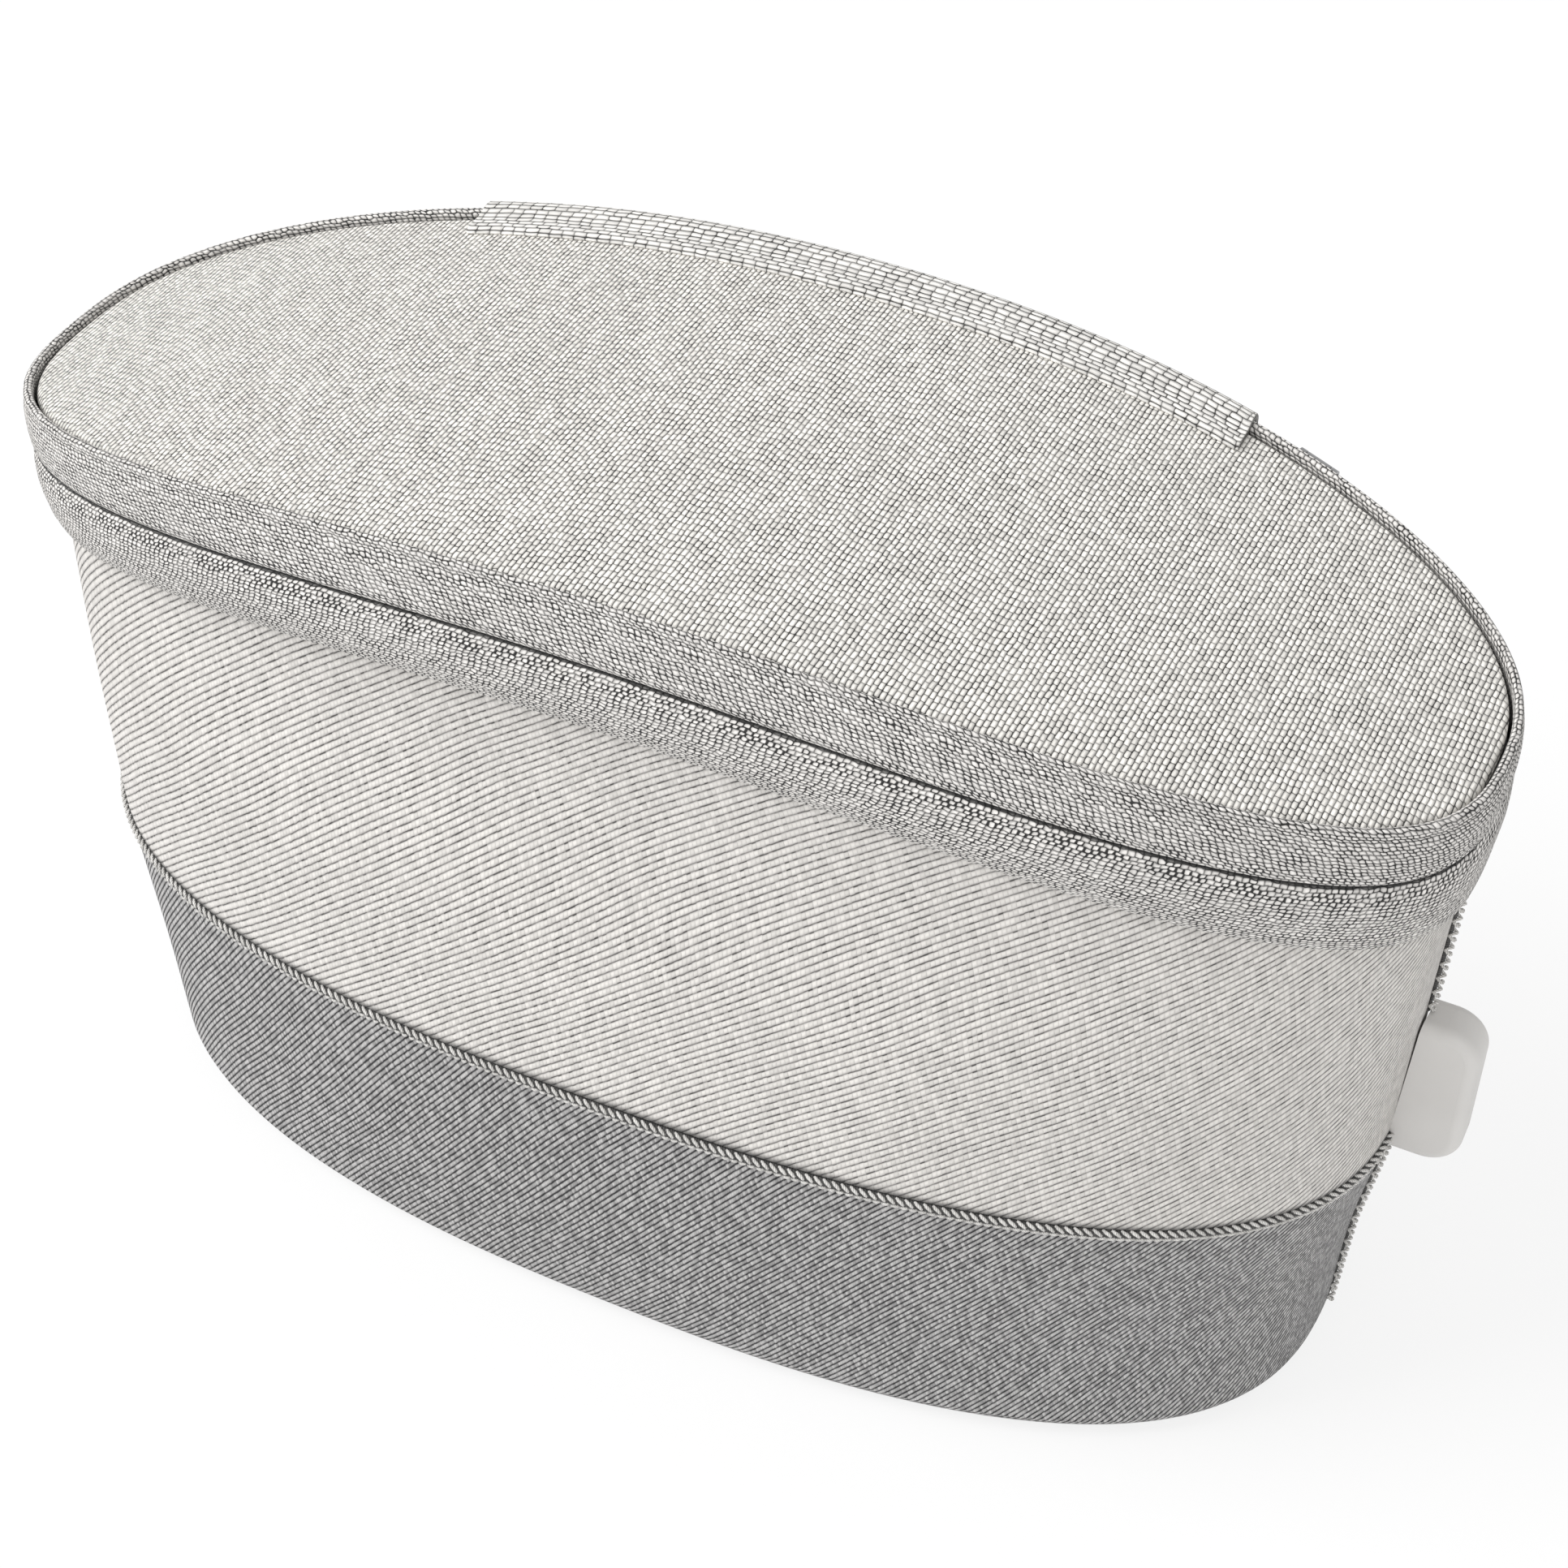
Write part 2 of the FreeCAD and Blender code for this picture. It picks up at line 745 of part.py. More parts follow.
def charging_socket():
    """Flat round-ended shell with a tongue inside and a foot on the circuit board."""
    top = panel_proud - socket_recess
    low = top - socket_depth
    long = 0.5 * socket_width
    wide = 0.5 * socket_height
    shell = stadium(long, wide, low, top)
    shell = shell.cut(stadium(long - socket_wall, wide - socket_wall, low + overcut, top + overcut))
    tongue = slab(-0.6 * long, 0.6 * long, -0.5 * socket_tongue, 0.5 * socket_tongue, low, top - overcut)
    foot = slab(-0.8 * long, 0.8 * long, -0.8 * wide, 0.8 * wide, -panel_boss_depth - layer_gap, low)
    return shell.multiFuse([tongue, foot]).removeSplitter().translated(Vector(socket_offset, 0, 0))


def control_box():
    """Cover over the circuit board inside the bag, open towards the wall."""
    front = -liner_depth - box_gap
    back = front - box_depth
    box = rounded_block(2.0 * box_half_length, box_height, box_corner, back, front)
    rear = [e for e in box.Edges if e.BoundBox.ZMax < back + 1e-3]
    box = box.makeChamfer(0.4 * box_corner, rear)
    inside = box_half_length - box_wall
    return box.cut(rounded_block(2.0 * inside, box_height - 2.0 * box_wall, box_corner - box_wall,
                                 back + box_wall, front + overcut))


def control_pieces(place):
    """Panel on the back wall with all that it carries."""
    pieces = {"control_panel": control_panel(), "power_button": power_button(),
              "charging_socket": charging_socket(), "control_box": control_box(),
              "status_lens": rod(status_radius, layer_gap - panel_boss_depth,
                                 panel_proud + status_proud, status_offset)}
    pieces.update(circuit_pieces())
    return {name: placed(shape, place) for name, shape in pieces.items()}


def zip_tape(sign):
    """Zip tape above (+1) or below (-1) the zip line; the lower one rolls in to the wall."""
    half = 0.5 * zip_gap
    if sign > 0:
        outer = [(0.0, 0.0, half), (tape_bulge, tape_bulge, 0.3 * tape_rise),
                 (tape_bulge, tape_bulge, 0.6 * tape_rise), (-tape_bulge, -tape_bulge, tape_rise)]
    else:
        outer = [(0.0, 0.0, -half), (tape_bulge, tape_bulge, -0.3 * tape_drop),
                 (-0.1 * tape_end_inset, -0.1 * tape_inset, -0.65 * tape_drop),
                 (-tape_end_inset, -tape_inset, -tape_drop)]
    inner = [(end - tape_thickness, side - tape_thickness, height) for end, side, height in reversed(outer)]
    return mouth_loft(outer + inner)


def zip_coil(sign):
    inner = -tape_thickness - layer_gap - coil_depth
    near = sign * 0.5 * coil_gap
    away = sign * (0.5 * coil_gap + coil_height)
    return mouth_ring(-tape_thickness - layer_gap, inner, min(near, away), max(near, away))


def mouth_wire():
    low = -wrap_top_drop + 2.0 * layer_gap
    return mouth_ring(-1.5 * tape_thickness, -1.5 * tape_thickness - wire_depth, low, low + wire_height)


def lid_wire():
    low = 0.5 * coil_gap + coil_height + layer_gap
    return mouth_ring(-1.6 * tape_thickness, -1.6 * tape_thickness - wire_depth, low, low + wire_height)


def lid_sheet(inset, depth, thickness):
    """Layer of the lid, this far below its top surface."""
    top = zip_height_at_ends + zip_arch + far * 0.2
    plan = oval_prism(mouth_half_length - inset, mouth_half_width - inset, mouth_power, 0, top)
    return plan.common(under_lid_top(-depth)).cut(under_lid_top(-depth - thickness))


def lid_pieces():
    core_depth = lid_fabric + layer_gap
    liner_depth_in_lid = core_depth + lid_foam + layer_gap
    magnet_y = magnet_setback - mouth_half_width
    crown = zip_height_at_ends + zip_arch + lid_rise - lid_slope * magnet_y
    magnet_high = crown - core_depth - 2.0 * layer_gap
    magnet = rod(magnet_radius, magnet_high - magnet_thickness, magnet_high, 0.0, magnet_y)
    core = lid_sheet(lid_core_inset, core_depth, lid_foam)
    core = core.cut(rod(magnet_radius + layer_gap, 0.0, far, 0.0, magnet_y))
    return {"lid_fabric": lid_sheet(lid_inset, 0.0, lid_fabric), "lid_core": core,
            "lid_liner": lid_sheet(lid_core_inset, liner_depth_in_lid, liner),
            "zip_tape_lid": zip_tape(1).common(under_lid_top(hem_height)),
            "zip_coil_lid": zip_coil(1), "lid_wire": lid_wire(), "lid_magnet": magnet}


def hinge_pieces():
    """Fabric hinge, split at the fold into the lid's half and the bag's half."""
    width = slab(-hinge_half_width, hinge_half_width, 0.0, far, 0.0, far)
    outer = hinge_clearance + hinge_thickness
    flap_low = hem_height + 2.0 * layer_gap
    flap_high = flap_low + hinge_thickness
    skirt = mouth_ring(outer, hinge_clearance, hinge_split_above, tape_rise)
    skirt = skirt.common(under_lid_top(flap_high)).common(width)
    top = zip_height_at_ends + zip_arch + far * 0.2
    edge = outer - hinge_join
    plan = oval_prism(mouth_half_length + edge, mouth_half_width + edge, mouth_power, 0, top)
    plan = plan.cut(oval_prism(mouth_half_length - hinge_overlap, mouth_half_width - hinge_overlap,
                               mouth_power, -1, top + 1))
    flap = plan.common(under_lid_top(flap_high)).cut(under_lid_top(flap_low)).common(width)
    lower = mouth_ring(outer, hinge_clearance, -hinge_drop, -hinge_split_below).common(width)
    return {"hinge_strip_lid": skirt.fuse(flap).removeSplitter(), "hinge_strip_body": lower}


def seam_piping(radius):
    """Round cord between the two wraps."""
    wires = []
    for i in range(6):
        turn = 2.0 * math.pi * i / 6
        offset = radius * math.cos(turn)
        height = seam_height_at_ends + radius * math.sin(turn)
        wires.append(oval_wire(seam_half_length + offset, seam_half_width + offset, seam_power,
                               height, seam_arch))
    return Part.makeLoft(wires, True, True, True)


def seam_flare(lift):
    """The bag's end under the seam, out to the proud edge of the lower wrap, moved out by one lift."""
    seam_end = arch_height(seam_height_at_ends, seam_arch, seam_half_length)
    level = seam_end - piping_radius - piping_clearance
    edge = form_wire(level, seam_longer, seam_wider, seam_power, -seam_proud - lift)
    return Part.makeLoft([flank_wire(-lift), edge], True, True)


def tab_levels():
    low = seam_height_at_ends - tab_below_seam
    return low, low + tab_height


def side_seam_tape():
    """Raised seam down the right end, open where the tab is held."""
    half = 0.5 * seam_tape_width
    top = zip_height_at_ends - tape_drop - layer_gap
    strip = slab(0, far, -half, half, seam_tape_foot, top)
    outer = bag_form(-seam_tape_thickness - seam_tape_gap, 0.0)
    strip = strip.common(outer).cut(bag_form(-seam_tape_gap, 0.0)).cut(seam_flare(seam_tape_gap))
    low, high = tab_levels()
    return strip.cut(slab(0, far, -far, far, low - layer_gap, high + layer_gap))


def grip_tab():
    """Soft moulded tab in the side seam, over the piping: a thick plate with round outer corners."""
    low, high = tab_levels()
    root = seam_half_length - tab_root
    tip = seam_half_length + tab_reach
    plate = slab(root, tip, -0.5 * tab_thickness, 0.5 * tab_thickness, low, high)
    corners = [e for e in plate.Edges if e.BoundBox.XMin > tip - 1e-3 and e.BoundBox.YLength > 1.0]
    plate = plate.makeFillet(tab_corner, corners)
    rim = [e for e in plate.Edges if e.BoundBox.YLength < 1e-3 and e.BoundBox.XMax > root + 1e-3]
    plate = plate.makeFillet(tab_edge_round, rim)
    plate = plate.cut(bag_form(-seam_tape_gap, 0.0)).cut(seam_flare(seam_tape_gap))
    return plate.cut(seam_piping(piping_radius + piping_clearance))


def mouth_frame(x):
    """Place on the back of the zip line: local X along it, local Y up, local Z outward."""
    best = None
    steps = 4000
    for i in range(steps):
        turn = 0.5 * math.pi * i / steps
        px, py = oval_point(mouth_half_length, mouth_half_width, mouth_power, turn)
        if best is None or abs(px - x) < abs(best[0] - x):
            best = (px, py, turn)
    px, py, turn = best
    qx, qy = oval_point(mouth_half_length, mouth_half_width, mouth_power, turn + 0.001)
    point = Vector(px, py, arch_height(zip_height_at_ends, zip_arch, px))
    along = Vector(qx, qy, arch_height(zip_height_at_ends, zip_arch, qx)).sub(point).normalize()
    outward = along.cross(Vector(0, 0, 1)).normalize()
    up = outward.cross(along)
    return FreeCAD.Placement(point, FreeCAD.Rotation(along, up, outward, "ZXY"))


def zip_slider():
    """Slider with an outer plate, a post through the zip gap and two ears with a pin."""
    low = slider_lift
    high = slider_lift + slider_plate
    plate = rounded_block(slider_length, 2.0 * slider_half_height, slider_corner, low, high)
    rim = [e for e in plate.Edges if e.BoundBox.ZMin > high - 1e-3]
    plate = plate.makeChamfer(slider_edge, rim)
    post_x = 0.5 * slider_post_length
    post_y = 0.5 * zip_gap - slider_post_gap
    back_front = -tape_thickness - layer_gap - coil_depth - slider_back_gap
    back_rear = back_front - slider_back_plate
    post = slab(-post_x, post_x, -post_y, post_y, back_rear, low + slider_join)
    back = slab(-slider_back_x, slider_back_x, -slider_back_y, post_y, back_rear, back_front)
    pieces = [post, back]
    ear_x = 0.5 * pull_eye_width + pull_ear_gap
    ear_y = 2.0 * bail_pin_radius
    pin_z = pull_pin_height()
    along = Vector(1, 0, 0)
    for x in (-ear_x - bail_ear, ear_x):
        pieces.append(slab(x, x + bail_ear, -ear_y, ear_y, high - slider_join, pin_z))
        pieces.append(Part.makeCylinder(ear_y, bail_ear, Vector(x, 0, pin_z), along))
    pin_x = ear_x + 0.5 * bail_ear
    pieces.append(Part.makeCylinder(bail_pin_radius, 2.0 * pin_x, Vector(-pin_x, 0, pin_z), along))
    return placed(plate.multiFuse(pieces).removeSplitter(), mouth_frame(slider_place))


def pull_pin_height():
    return slider_lift + slider_plate + bail_pin_lift


def hanging_stadium(length, width, drop, low, high):
    """Round-ended bar along local Y, its middle this far below the slider's pin."""
    bar = stadium(0.5 * length, 0.5 * width, low, high)
    bar.rotate(Vector(0, 0, 0), Vector(0, 0, 1), 90)
    return bar.translated(Vector(0, -drop, 0))


def zip_pull():
    """Flat tongue that hangs from the slider's pin, with a finger slot near its end."""
    pin_z = pull_pin_height()
    half = 0.5 * pull_thickness
    half_eye = 0.5 * pull_eye_width
    along = Vector(1, 0, 0)
    eye = Part.makeCylinder(half + bail_pin_radius, pull_eye_width, Vector(-half_eye, 0, pin_z), along)
    neck = slab(-half_eye, half_eye, -pull_neck_length, 0.0, pin_z - half, pin_z + half)
    blade = hanging_stadium(pull_blade_length, pull_width, pull_blade_drop, pin_z - half, pin_z + half)
    slot = hanging_stadium(pull_slot_length, pull_slot_width, pull_slot_drop, 0.0, far)
    pull = blade.multiFuse([eye, neck]).cut(slot)
    bore = Part.makeCylinder(bail_pin_radius + pull_fit, pull_eye_width + 2.0 * overcut,
                             Vector(-half_eye - overcut, 0, pin_z), along)
    return placed(pull.cut(bore).removeSplitter(), mouth_frame(slider_place))


def zip_end_stops():
    """Small clips on the tape at both ends of the zip."""
    low = tape_bulge + layer_gap
    half = 0.5 * stop_length
    block = slab(-half, half, -stop_height - zip_gap, -zip_gap, low, low + stop_thickness)
    clip = placed(block, mouth_frame(stop_place))
    return Part.makeCompound([clip, clip.mirror(Vector(0, 0, 0), Vector(1, 0, 0))])


def build():
    panel = panel_frame()
    lights = light_frames()
    parts = {"upper_wrap": upper_wrap(), "lower_wrap": lower_wrap(panel), "bottom_panel": bottom_panel()}
    parts["foam_shell"] = foam_shell(panel, lights)
    parts["inner_liner"] = inner_liner(panel, lights)
    parts["base_tray"] = base_tray()
    parts["battery_pack"] = battery_pack()
    parts["device_rack"] = device_rack()
    parts["rack_screws"] = rack_screws()
    for name, place in lights.items():
        for kind, shape in light_module(place).items():
            parts[kind + "_" + name] = shape
    parts.update(light_leads())
    parts.update(control_pieces(panel))
    parts["lid_sensor"] = sensor_block(0.0)
    parts["zip_tape_body"] = zip_tape(-1)
    parts["zip_coil_body"] = zip_coil(-1)
    parts["mouth_wire"] = mouth_wire()
    parts["zip_end_stops"] = zip_end_stops()
    parts["seam_piping"] = seam_piping(piping_radius)
    parts["side_seam_tape"] = side_seam_tape()
    parts["grip_tab"] = grip_tab()
    parts.update(lid_pieces())
    parts.update(hinge_pieces())
    parts["zip_slider"] = zip_slider()
    parts["zip_pull"] = zip_pull()
    return parts


def main():
    os.makedirs("parts", exist_ok=True)
    for name, shape in build().items():
        shape.exportStep(os.path.join("parts", name + ".step"))


main()
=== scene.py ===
import math
import bpy
import numpy as np
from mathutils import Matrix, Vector


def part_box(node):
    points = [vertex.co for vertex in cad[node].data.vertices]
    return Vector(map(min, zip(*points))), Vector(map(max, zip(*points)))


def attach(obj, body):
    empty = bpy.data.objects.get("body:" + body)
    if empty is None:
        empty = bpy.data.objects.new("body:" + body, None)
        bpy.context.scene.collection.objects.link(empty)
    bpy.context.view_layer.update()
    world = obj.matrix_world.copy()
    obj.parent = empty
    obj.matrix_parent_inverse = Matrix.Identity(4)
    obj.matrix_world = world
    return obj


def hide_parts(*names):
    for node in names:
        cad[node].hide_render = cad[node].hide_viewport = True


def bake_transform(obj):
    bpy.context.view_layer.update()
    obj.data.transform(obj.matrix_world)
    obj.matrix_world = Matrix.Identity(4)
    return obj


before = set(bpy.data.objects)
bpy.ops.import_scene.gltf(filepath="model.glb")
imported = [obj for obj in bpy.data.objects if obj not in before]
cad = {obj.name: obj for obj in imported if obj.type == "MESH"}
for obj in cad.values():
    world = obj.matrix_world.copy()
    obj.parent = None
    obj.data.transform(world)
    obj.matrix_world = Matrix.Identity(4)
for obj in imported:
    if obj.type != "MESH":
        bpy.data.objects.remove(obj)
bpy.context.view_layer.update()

# Sizes in millimetres unless a name says otherwise; the meshes are made in metres.
mm = 0.001

# Camera
camera_azimuth = 25.23
camera_elevation = 44.76
camera_distance = 456.13
camera_target = (7.31, 0.0, 77.87)
camera_lens = 71.20
camera_sensor = 36.0

# Mouth and zip line
mouth_length = 109.0
mouth_width = 44.0
mouth_power = 2.55
zip_ends = 117.0
zip_arch = 18.0
lid_rise = 7.0
lid_slope = 0.07
hem_rise = 0.5

# Seam between the wraps
seam_length = 104.3
seam_width = 50.8
seam_power = 2.3
seam_ends = 51.0
seam_arch = 5.8
seam_proud = 0.2
seam_outline = (seam_length, seam_width, seam_power)

# Wall outlines: half length, half width, power
base_outline = (100.0, 47.2, 2.5)
flank_outline = (101.2, 49.6, 2.4)
chest_outline = (105.8, 46.6, 2.425)
shoulder_outline = (106.8, 40.3, 2.55)
base_round = 5.0
wrap_lift = 0.3
flank_height = 26.95
chest_height = 80.95
shoulder_height = 108.0
fabric = 1.0

# Columns round the bag, and the places of its four lights
columns = 480
light_places = ("back_left", "back_right", "front_left", "front_right")


def oval(half_length, half_width, power, turns):
    """Points of a rounded oval, |x/a|^n + |y/b|^n = 1."""
    c = np.cos(turns)
    s = np.sin(turns)
    size = (np.abs(c) ** power + np.abs(s) ** power) ** (-1.0 / power)
    return half_length * size * c, half_width * size * s


def even_turns(half_length, half_width, power, count):
    """Turns of evenly spaced points on an oval, from the middle of the back, and its length."""
    fine = np.linspace(0.5 * math.pi, 2.5 * math.pi, 40001)
    x, y = oval(half_length, half_width, power, fine)
    run = np.concatenate([[0.0], np.cumsum(np.hypot(np.diff(x), np.diff(y)))])
    return np.interp(np.arange(count) * run[-1] / count, run, fine), run[-1]


def arch(ends, rise, x):
    """Height at x of a line that rises in an arch between the ends of the mouth."""
    return ends + rise * (1.0 - (x / mouth_length) ** 2)


def zip_line(x):
    return arch(zip_ends, zip_arch, x)


def lid_top(x, y):
    """Height of the lid's top before it's puffed."""
    return zip_line(x) + lid_rise - lid_slope * y


mouth_turns, mouth_run = even_turns(mouth_length, mouth_width, mouth_power, columns)
mouth_u = np.arange(columns + 1) * mouth_run / columns
seam_turns, seam_run = even_turns(*seam_outline, columns)
seam_u = np.arange(columns + 1) * seam_run / columns


def mesh_object(name, points, faces, uvs):
    """Smooth mesh from points in millimetres, with one UV pair in millimetres per face corner."""
    mesh = bpy.data.meshes.new(name)
    mesh.from_pydata([tuple(p) for p in np.asarray(points) * mm], [], faces)
    layer = mesh.uv_layers.new(name="UVMap")
    layer.data.foreach_set("uv", np.asarray(uvs, dtype=float).ravel())
    mesh.polygons.foreach_set("use_smooth", [True] * len(mesh.polygons))
    mesh.update()
    obj = bpy.data.objects.new(name, mesh)
    bpy.context.scene.collection.objects.link(obj)
    return obj


def loft(name, rings, u, v, closed=False, cut=None):
    """Skin over closed rings; u has one value more than a ring has points, v a value or a row per ring."""
    rings = np.asarray(rings)
    levels, count = rings.shape[:2]
    v = np.asarray(v, dtype=float)
    if v.ndim == 1:
        v = np.repeat(v[:, None], count, axis=1)
    faces = []
    uvs = []
    spans = levels if closed else levels - 1
    for i in range(spans):
        k = (i + 1) % levels
        top = v[min(i + 1, len(v) - 1)]
        for j in range(count):
            n = (j + 1) % count
            if cut is not None and cut(rings[i, j], rings[k, n]):
                continue
            faces.append((i * count + j, i * count + n, k * count + n, k * count + j))
            uvs += [(u[j], v[i, j]), (u[j + 1], v[i, n]), (u[j + 1], top[n]), (u[j], top[j])]
    return mesh_object(name, rings.reshape(-1, 3), faces, uvs)


def disc(name, rings):
    """Skin over rings that start from one middle point; the UVs are the plan's X and Y."""
    rings = np.asarray(rings)
    levels, count = rings.shape[:2]
    middle = rings[0].mean(axis=0)
    points = np.concatenate([[middle], rings.reshape(-1, 3)])
    faces = []
    for j in range(count):
        faces.append((0, 1 + j, 1 + (j + 1) % count))
    for i in range(levels - 1):
        for j in range(count):
            n = (j + 1) % count
            a = 1 + i * count
            faces.append((a + j, a + count + j, a + count + n, a + n))
    uvs = [points[corner][:2] for face in faces for corner in face]
    return mesh_object(name, points, faces, uvs)


def hermite(stations, samples):
    """Smooth curve through rows of numbers, the first of which is the height."""
    rows = np.asarray(stations, dtype=float)
    t = rows[:, 0]
    slopes = np.gradient(rows, t, axis=0)
    out = []
    for s in samples:
        i = min(max(int(np.searchsorted(t, s)) - 1, 0), len(t) - 2)
        h = t[i + 1] - t[i]
        w = (s - t[i]) / h
        out.append((2 * w ** 3 - 3 * w ** 2 + 1) * rows[i] + (w ** 3 - 2 * w ** 2 + w) * h * slopes[i]
                   + (3 * w ** 2 - 2 * w ** 3) * rows[i + 1] + (w ** 3 - w ** 2) * h * slopes[i + 1])
    return np.asarray(out)


def ring_points(x, y, z):
    """Rows of XYZ from places along X and Y and one height or a row of heights."""
    return np.stack([x, y, np.broadcast_to(z, x.shape)], axis=1)


def wall_ring(half_length, half_width, power, ends, rise, ring_turns):
    """Oval ring whose height follows an arch."""
    x, y = oval(half_length, half_width, power, ring_turns)
    return ring_points(x, y, arch(ends, rise, x))


def zip_ring(offset, height, end_out=0.0):
    """Ring that follows the mouth at an offset, at a height above the zip line or a height by y."""
    x, y = oval(mouth_length + offset + end_out, mouth_width + offset, mouth_power, mouth_turns)
    rise = height(x, y) if callable(height) else height
    return ring_points(x, y, zip_line(x) + rise)


def ripple(rings, depth):
    """Slight unevenness of stretched cloth, in and out from the middle."""
    rings = np.asarray(rings)
    x, y, z = rings[..., 0], rings[..., 1], rings[..., 2]
    wave = np.sin(0.071 * x + 0.9) * np.sin(0.052 * z + 0.4) + 0.6 * np.sin(0.043 * x - 0.083 * z + 2.1)
    wave += 0.5 * np.sin(0.11 * y + 0.061 * z + 0.7)
    length = np.hypot(x, y) + 1e-6
    rings[..., 0] += depth * wave * x / length
    rings[..., 1] += depth * wave * y / length
    return rings


# Materials

# Black of painted shade, in the gap at the zip line and along the wrap's tucked foot.
gap_shade = (0.05, 0.05, 0.05)


class Graph:
    """Node tree of one material, with short ways to write sums."""

    def __init__(self, name):
        self.material = bpy.data.materials.new(name)
        self.material.use_nodes = True
        self.tree = self.material.node_tree
        self.tree.nodes.clear()
        self.shader = self.tree.nodes.new("ShaderNodeBsdfPrincipled")
        out = self.tree.nodes.new("ShaderNodeOutputMaterial")
        self.tree.links.new(self.shader.outputs["BSDF"], out.inputs["Surface"])

    def put(self, socket, value):
        if isinstance(value, bpy.types.NodeSocket):
            self.tree.links.new(value, socket)
        elif isinstance(value, tuple) and socket.type == "RGBA":
            socket.default_value = (*value, 1.0)
        else:
            socket.default_value = value

    def math(self, operation, *values):
        node = self.tree.nodes.new("ShaderNodeMath")
        node.operation = operation
        for socket, value in zip(node.inputs, values):
            self.put(socket, value)
        return node.outputs[0]

    def add(self, a, b):
        return self.math("ADD", a, b)

    def times(self, a, b):
        return self.math("MULTIPLY", a, b)

    def less(self, a, b):
        return self.math("SUBTRACT", a, b)

    def power(self, a, b):
        return self.math("POWER", a, b)

    def wave(self, a):
        """Rounded hump over each whole step."""
        return self.math("SINE", self.times(self.math("FRACT", a), math.pi))

    def mix(self, share, a, b):
        node = self.tree.nodes.new("ShaderNodeMix")
        node.data_type = "RGBA"
        self.put(node.inputs["Factor"], share)
        self.put(node.inputs["A"], a)
        self.put(node.inputs["B"], b)
        return node.outputs["Result"]

    def fade(self, value, start, end):
        """1 below start, 0 above end, smooth between."""
        node = self.tree.nodes.new("ShaderNodeMapRange")
        node.interpolation_type = "SMOOTHSTEP"
        self.put(node.inputs["Value"], value)
        self.put(node.inputs["From Min"], start)
        self.put(node.inputs["From Max"], end)
        self.put(node.inputs["To Min"], 1.0)
        self.put(node.inputs["To Max"], 0.0)
        return node.outputs["Result"]

    def uv(self):
        node = self.tree.nodes.new("ShaderNodeUVMap")
        split = self.tree.nodes.new("ShaderNodeSeparateXYZ")
        self.tree.links.new(node.outputs["UV"], split.inputs[0])
        return split.outputs[0], split.outputs[1]

    def place(self):
        return self.tree.nodes.new("ShaderNodeTexCoord").outputs["Object"]

    def join(self, x, y):
        node = self.tree.nodes.new("ShaderNodeCombineXYZ")
        for socket, value in zip(node.inputs, (x, y)):
            self.put(socket, value)
        return node.outputs[0]

    def noise(self, vector, scale, detail):
        node = self.tree.nodes.new("ShaderNodeTexNoise")
        self.put(node.inputs["Vector"], vector)
        self.put(node.inputs["Scale"], scale)
        self.put(node.inputs["Detail"], detail)
        return node.outputs["Fac"]

    def chance(self, x, y):
        node = self.tree.nodes.new("ShaderNodeTexWhiteNoise")
        node.noise_dimensions = "2D"
        self.put(node.inputs["Vector"], self.join(x, y))
        return node.outputs["Value"]

    def bump(self, height, depth):
        node = self.tree.nodes.new("ShaderNodeBump")
        self.put(node.inputs["Height"], height)
        self.put(node.inputs["Distance"], depth * mm)
        self.put(node.inputs["Strength"], 1.0)
        self.put(self.shader.inputs["Normal"], node.outputs["Normal"])

    def finish(self, colour, roughness, **others):
        self.put(self.shader.inputs["Base Color"], colour)
        self.put(self.shader.inputs["Roughness"], roughness)
        for name, value in others.items():
            self.put(self.shader.inputs[name.replace("_", " ")], value)
        return self.material


def cloth_finish(g, colour, height, depth):
    """Shade between yarns, soft blotches, bump and the sheen of cloth."""
    blotch = g.noise(g.place(), 55.0, 3.0)
    tone = g.add(0.94, g.times(blotch, 0.12))
    hollow = g.add(0.74, g.times(height, 0.3))
    shade = g.times(tone, hollow)
    node = g.tree.nodes.new("ShaderNodeVectorMath")
    node.operation = "SCALE"
    g.put(node.inputs[0], colour)
    g.put(node.inputs["Scale"], shade)
    g.bump(height, depth)
    return g.finish(node.outputs[0], 0.88, Specular_IOR_Level=0.25, Sheen_Weight=0.12, Sheen_Roughness=0.5)


def yarn_colour(g, crevice_shade, strength, fleck, light, dark):
    """Light yarn with painted shade in its crevices, of uneven depth, and flecks."""
    share = g.add(g.times(crevice_shade, strength), fleck)
    return g.mix(g.math("MINIMUM", share, 1.0), light, dark)


def floats(g, run, side, length, pitch, sway=0.4, bends=0.35):
    """Floats of yarn along run, in rows moved along by chance.

    Gives the humps along and across a float, and the numbers of float and row.
    """
    wobble = g.noise(g.join(run, side), bends, 1.0)
    row = g.add(g.math("DIVIDE", side, pitch), g.times(wobble, sway))
    j = g.math("FLOOR", row)
    at = g.add(g.add(g.math("DIVIDE", run, length), g.chance(j, 3.0)), g.times(wobble, 0.5))
    return g.wave(at), g.wave(row), g.math("FLOOR", at), j


def float_weave(name, light, dark, length, pitch, depth, turned=False):
    """Weave that shows long floats, along u or turned to run along v."""
    g = Graph(name)
    u, v = g.uv()
    run, side = (v, u) if turned else (u, v)
    along, across, i, j = floats(g, run, side, length, pitch)
    height = g.times(g.power(across, 0.5), g.power(along, 0.3))
    strength = g.add(0.45, g.times(g.power(g.chance(i, j), 2.0), 1.3))
    fleck = g.times(g.chance(j, i), 0.26)
    # Painted shade in the crevices between the floats, deeper on some floats than others.
    colour = yarn_colour(g, g.fade(height, 0.15, 0.68), strength, fleck, light, dark)
    return cloth_finish(g, colour, height, depth)


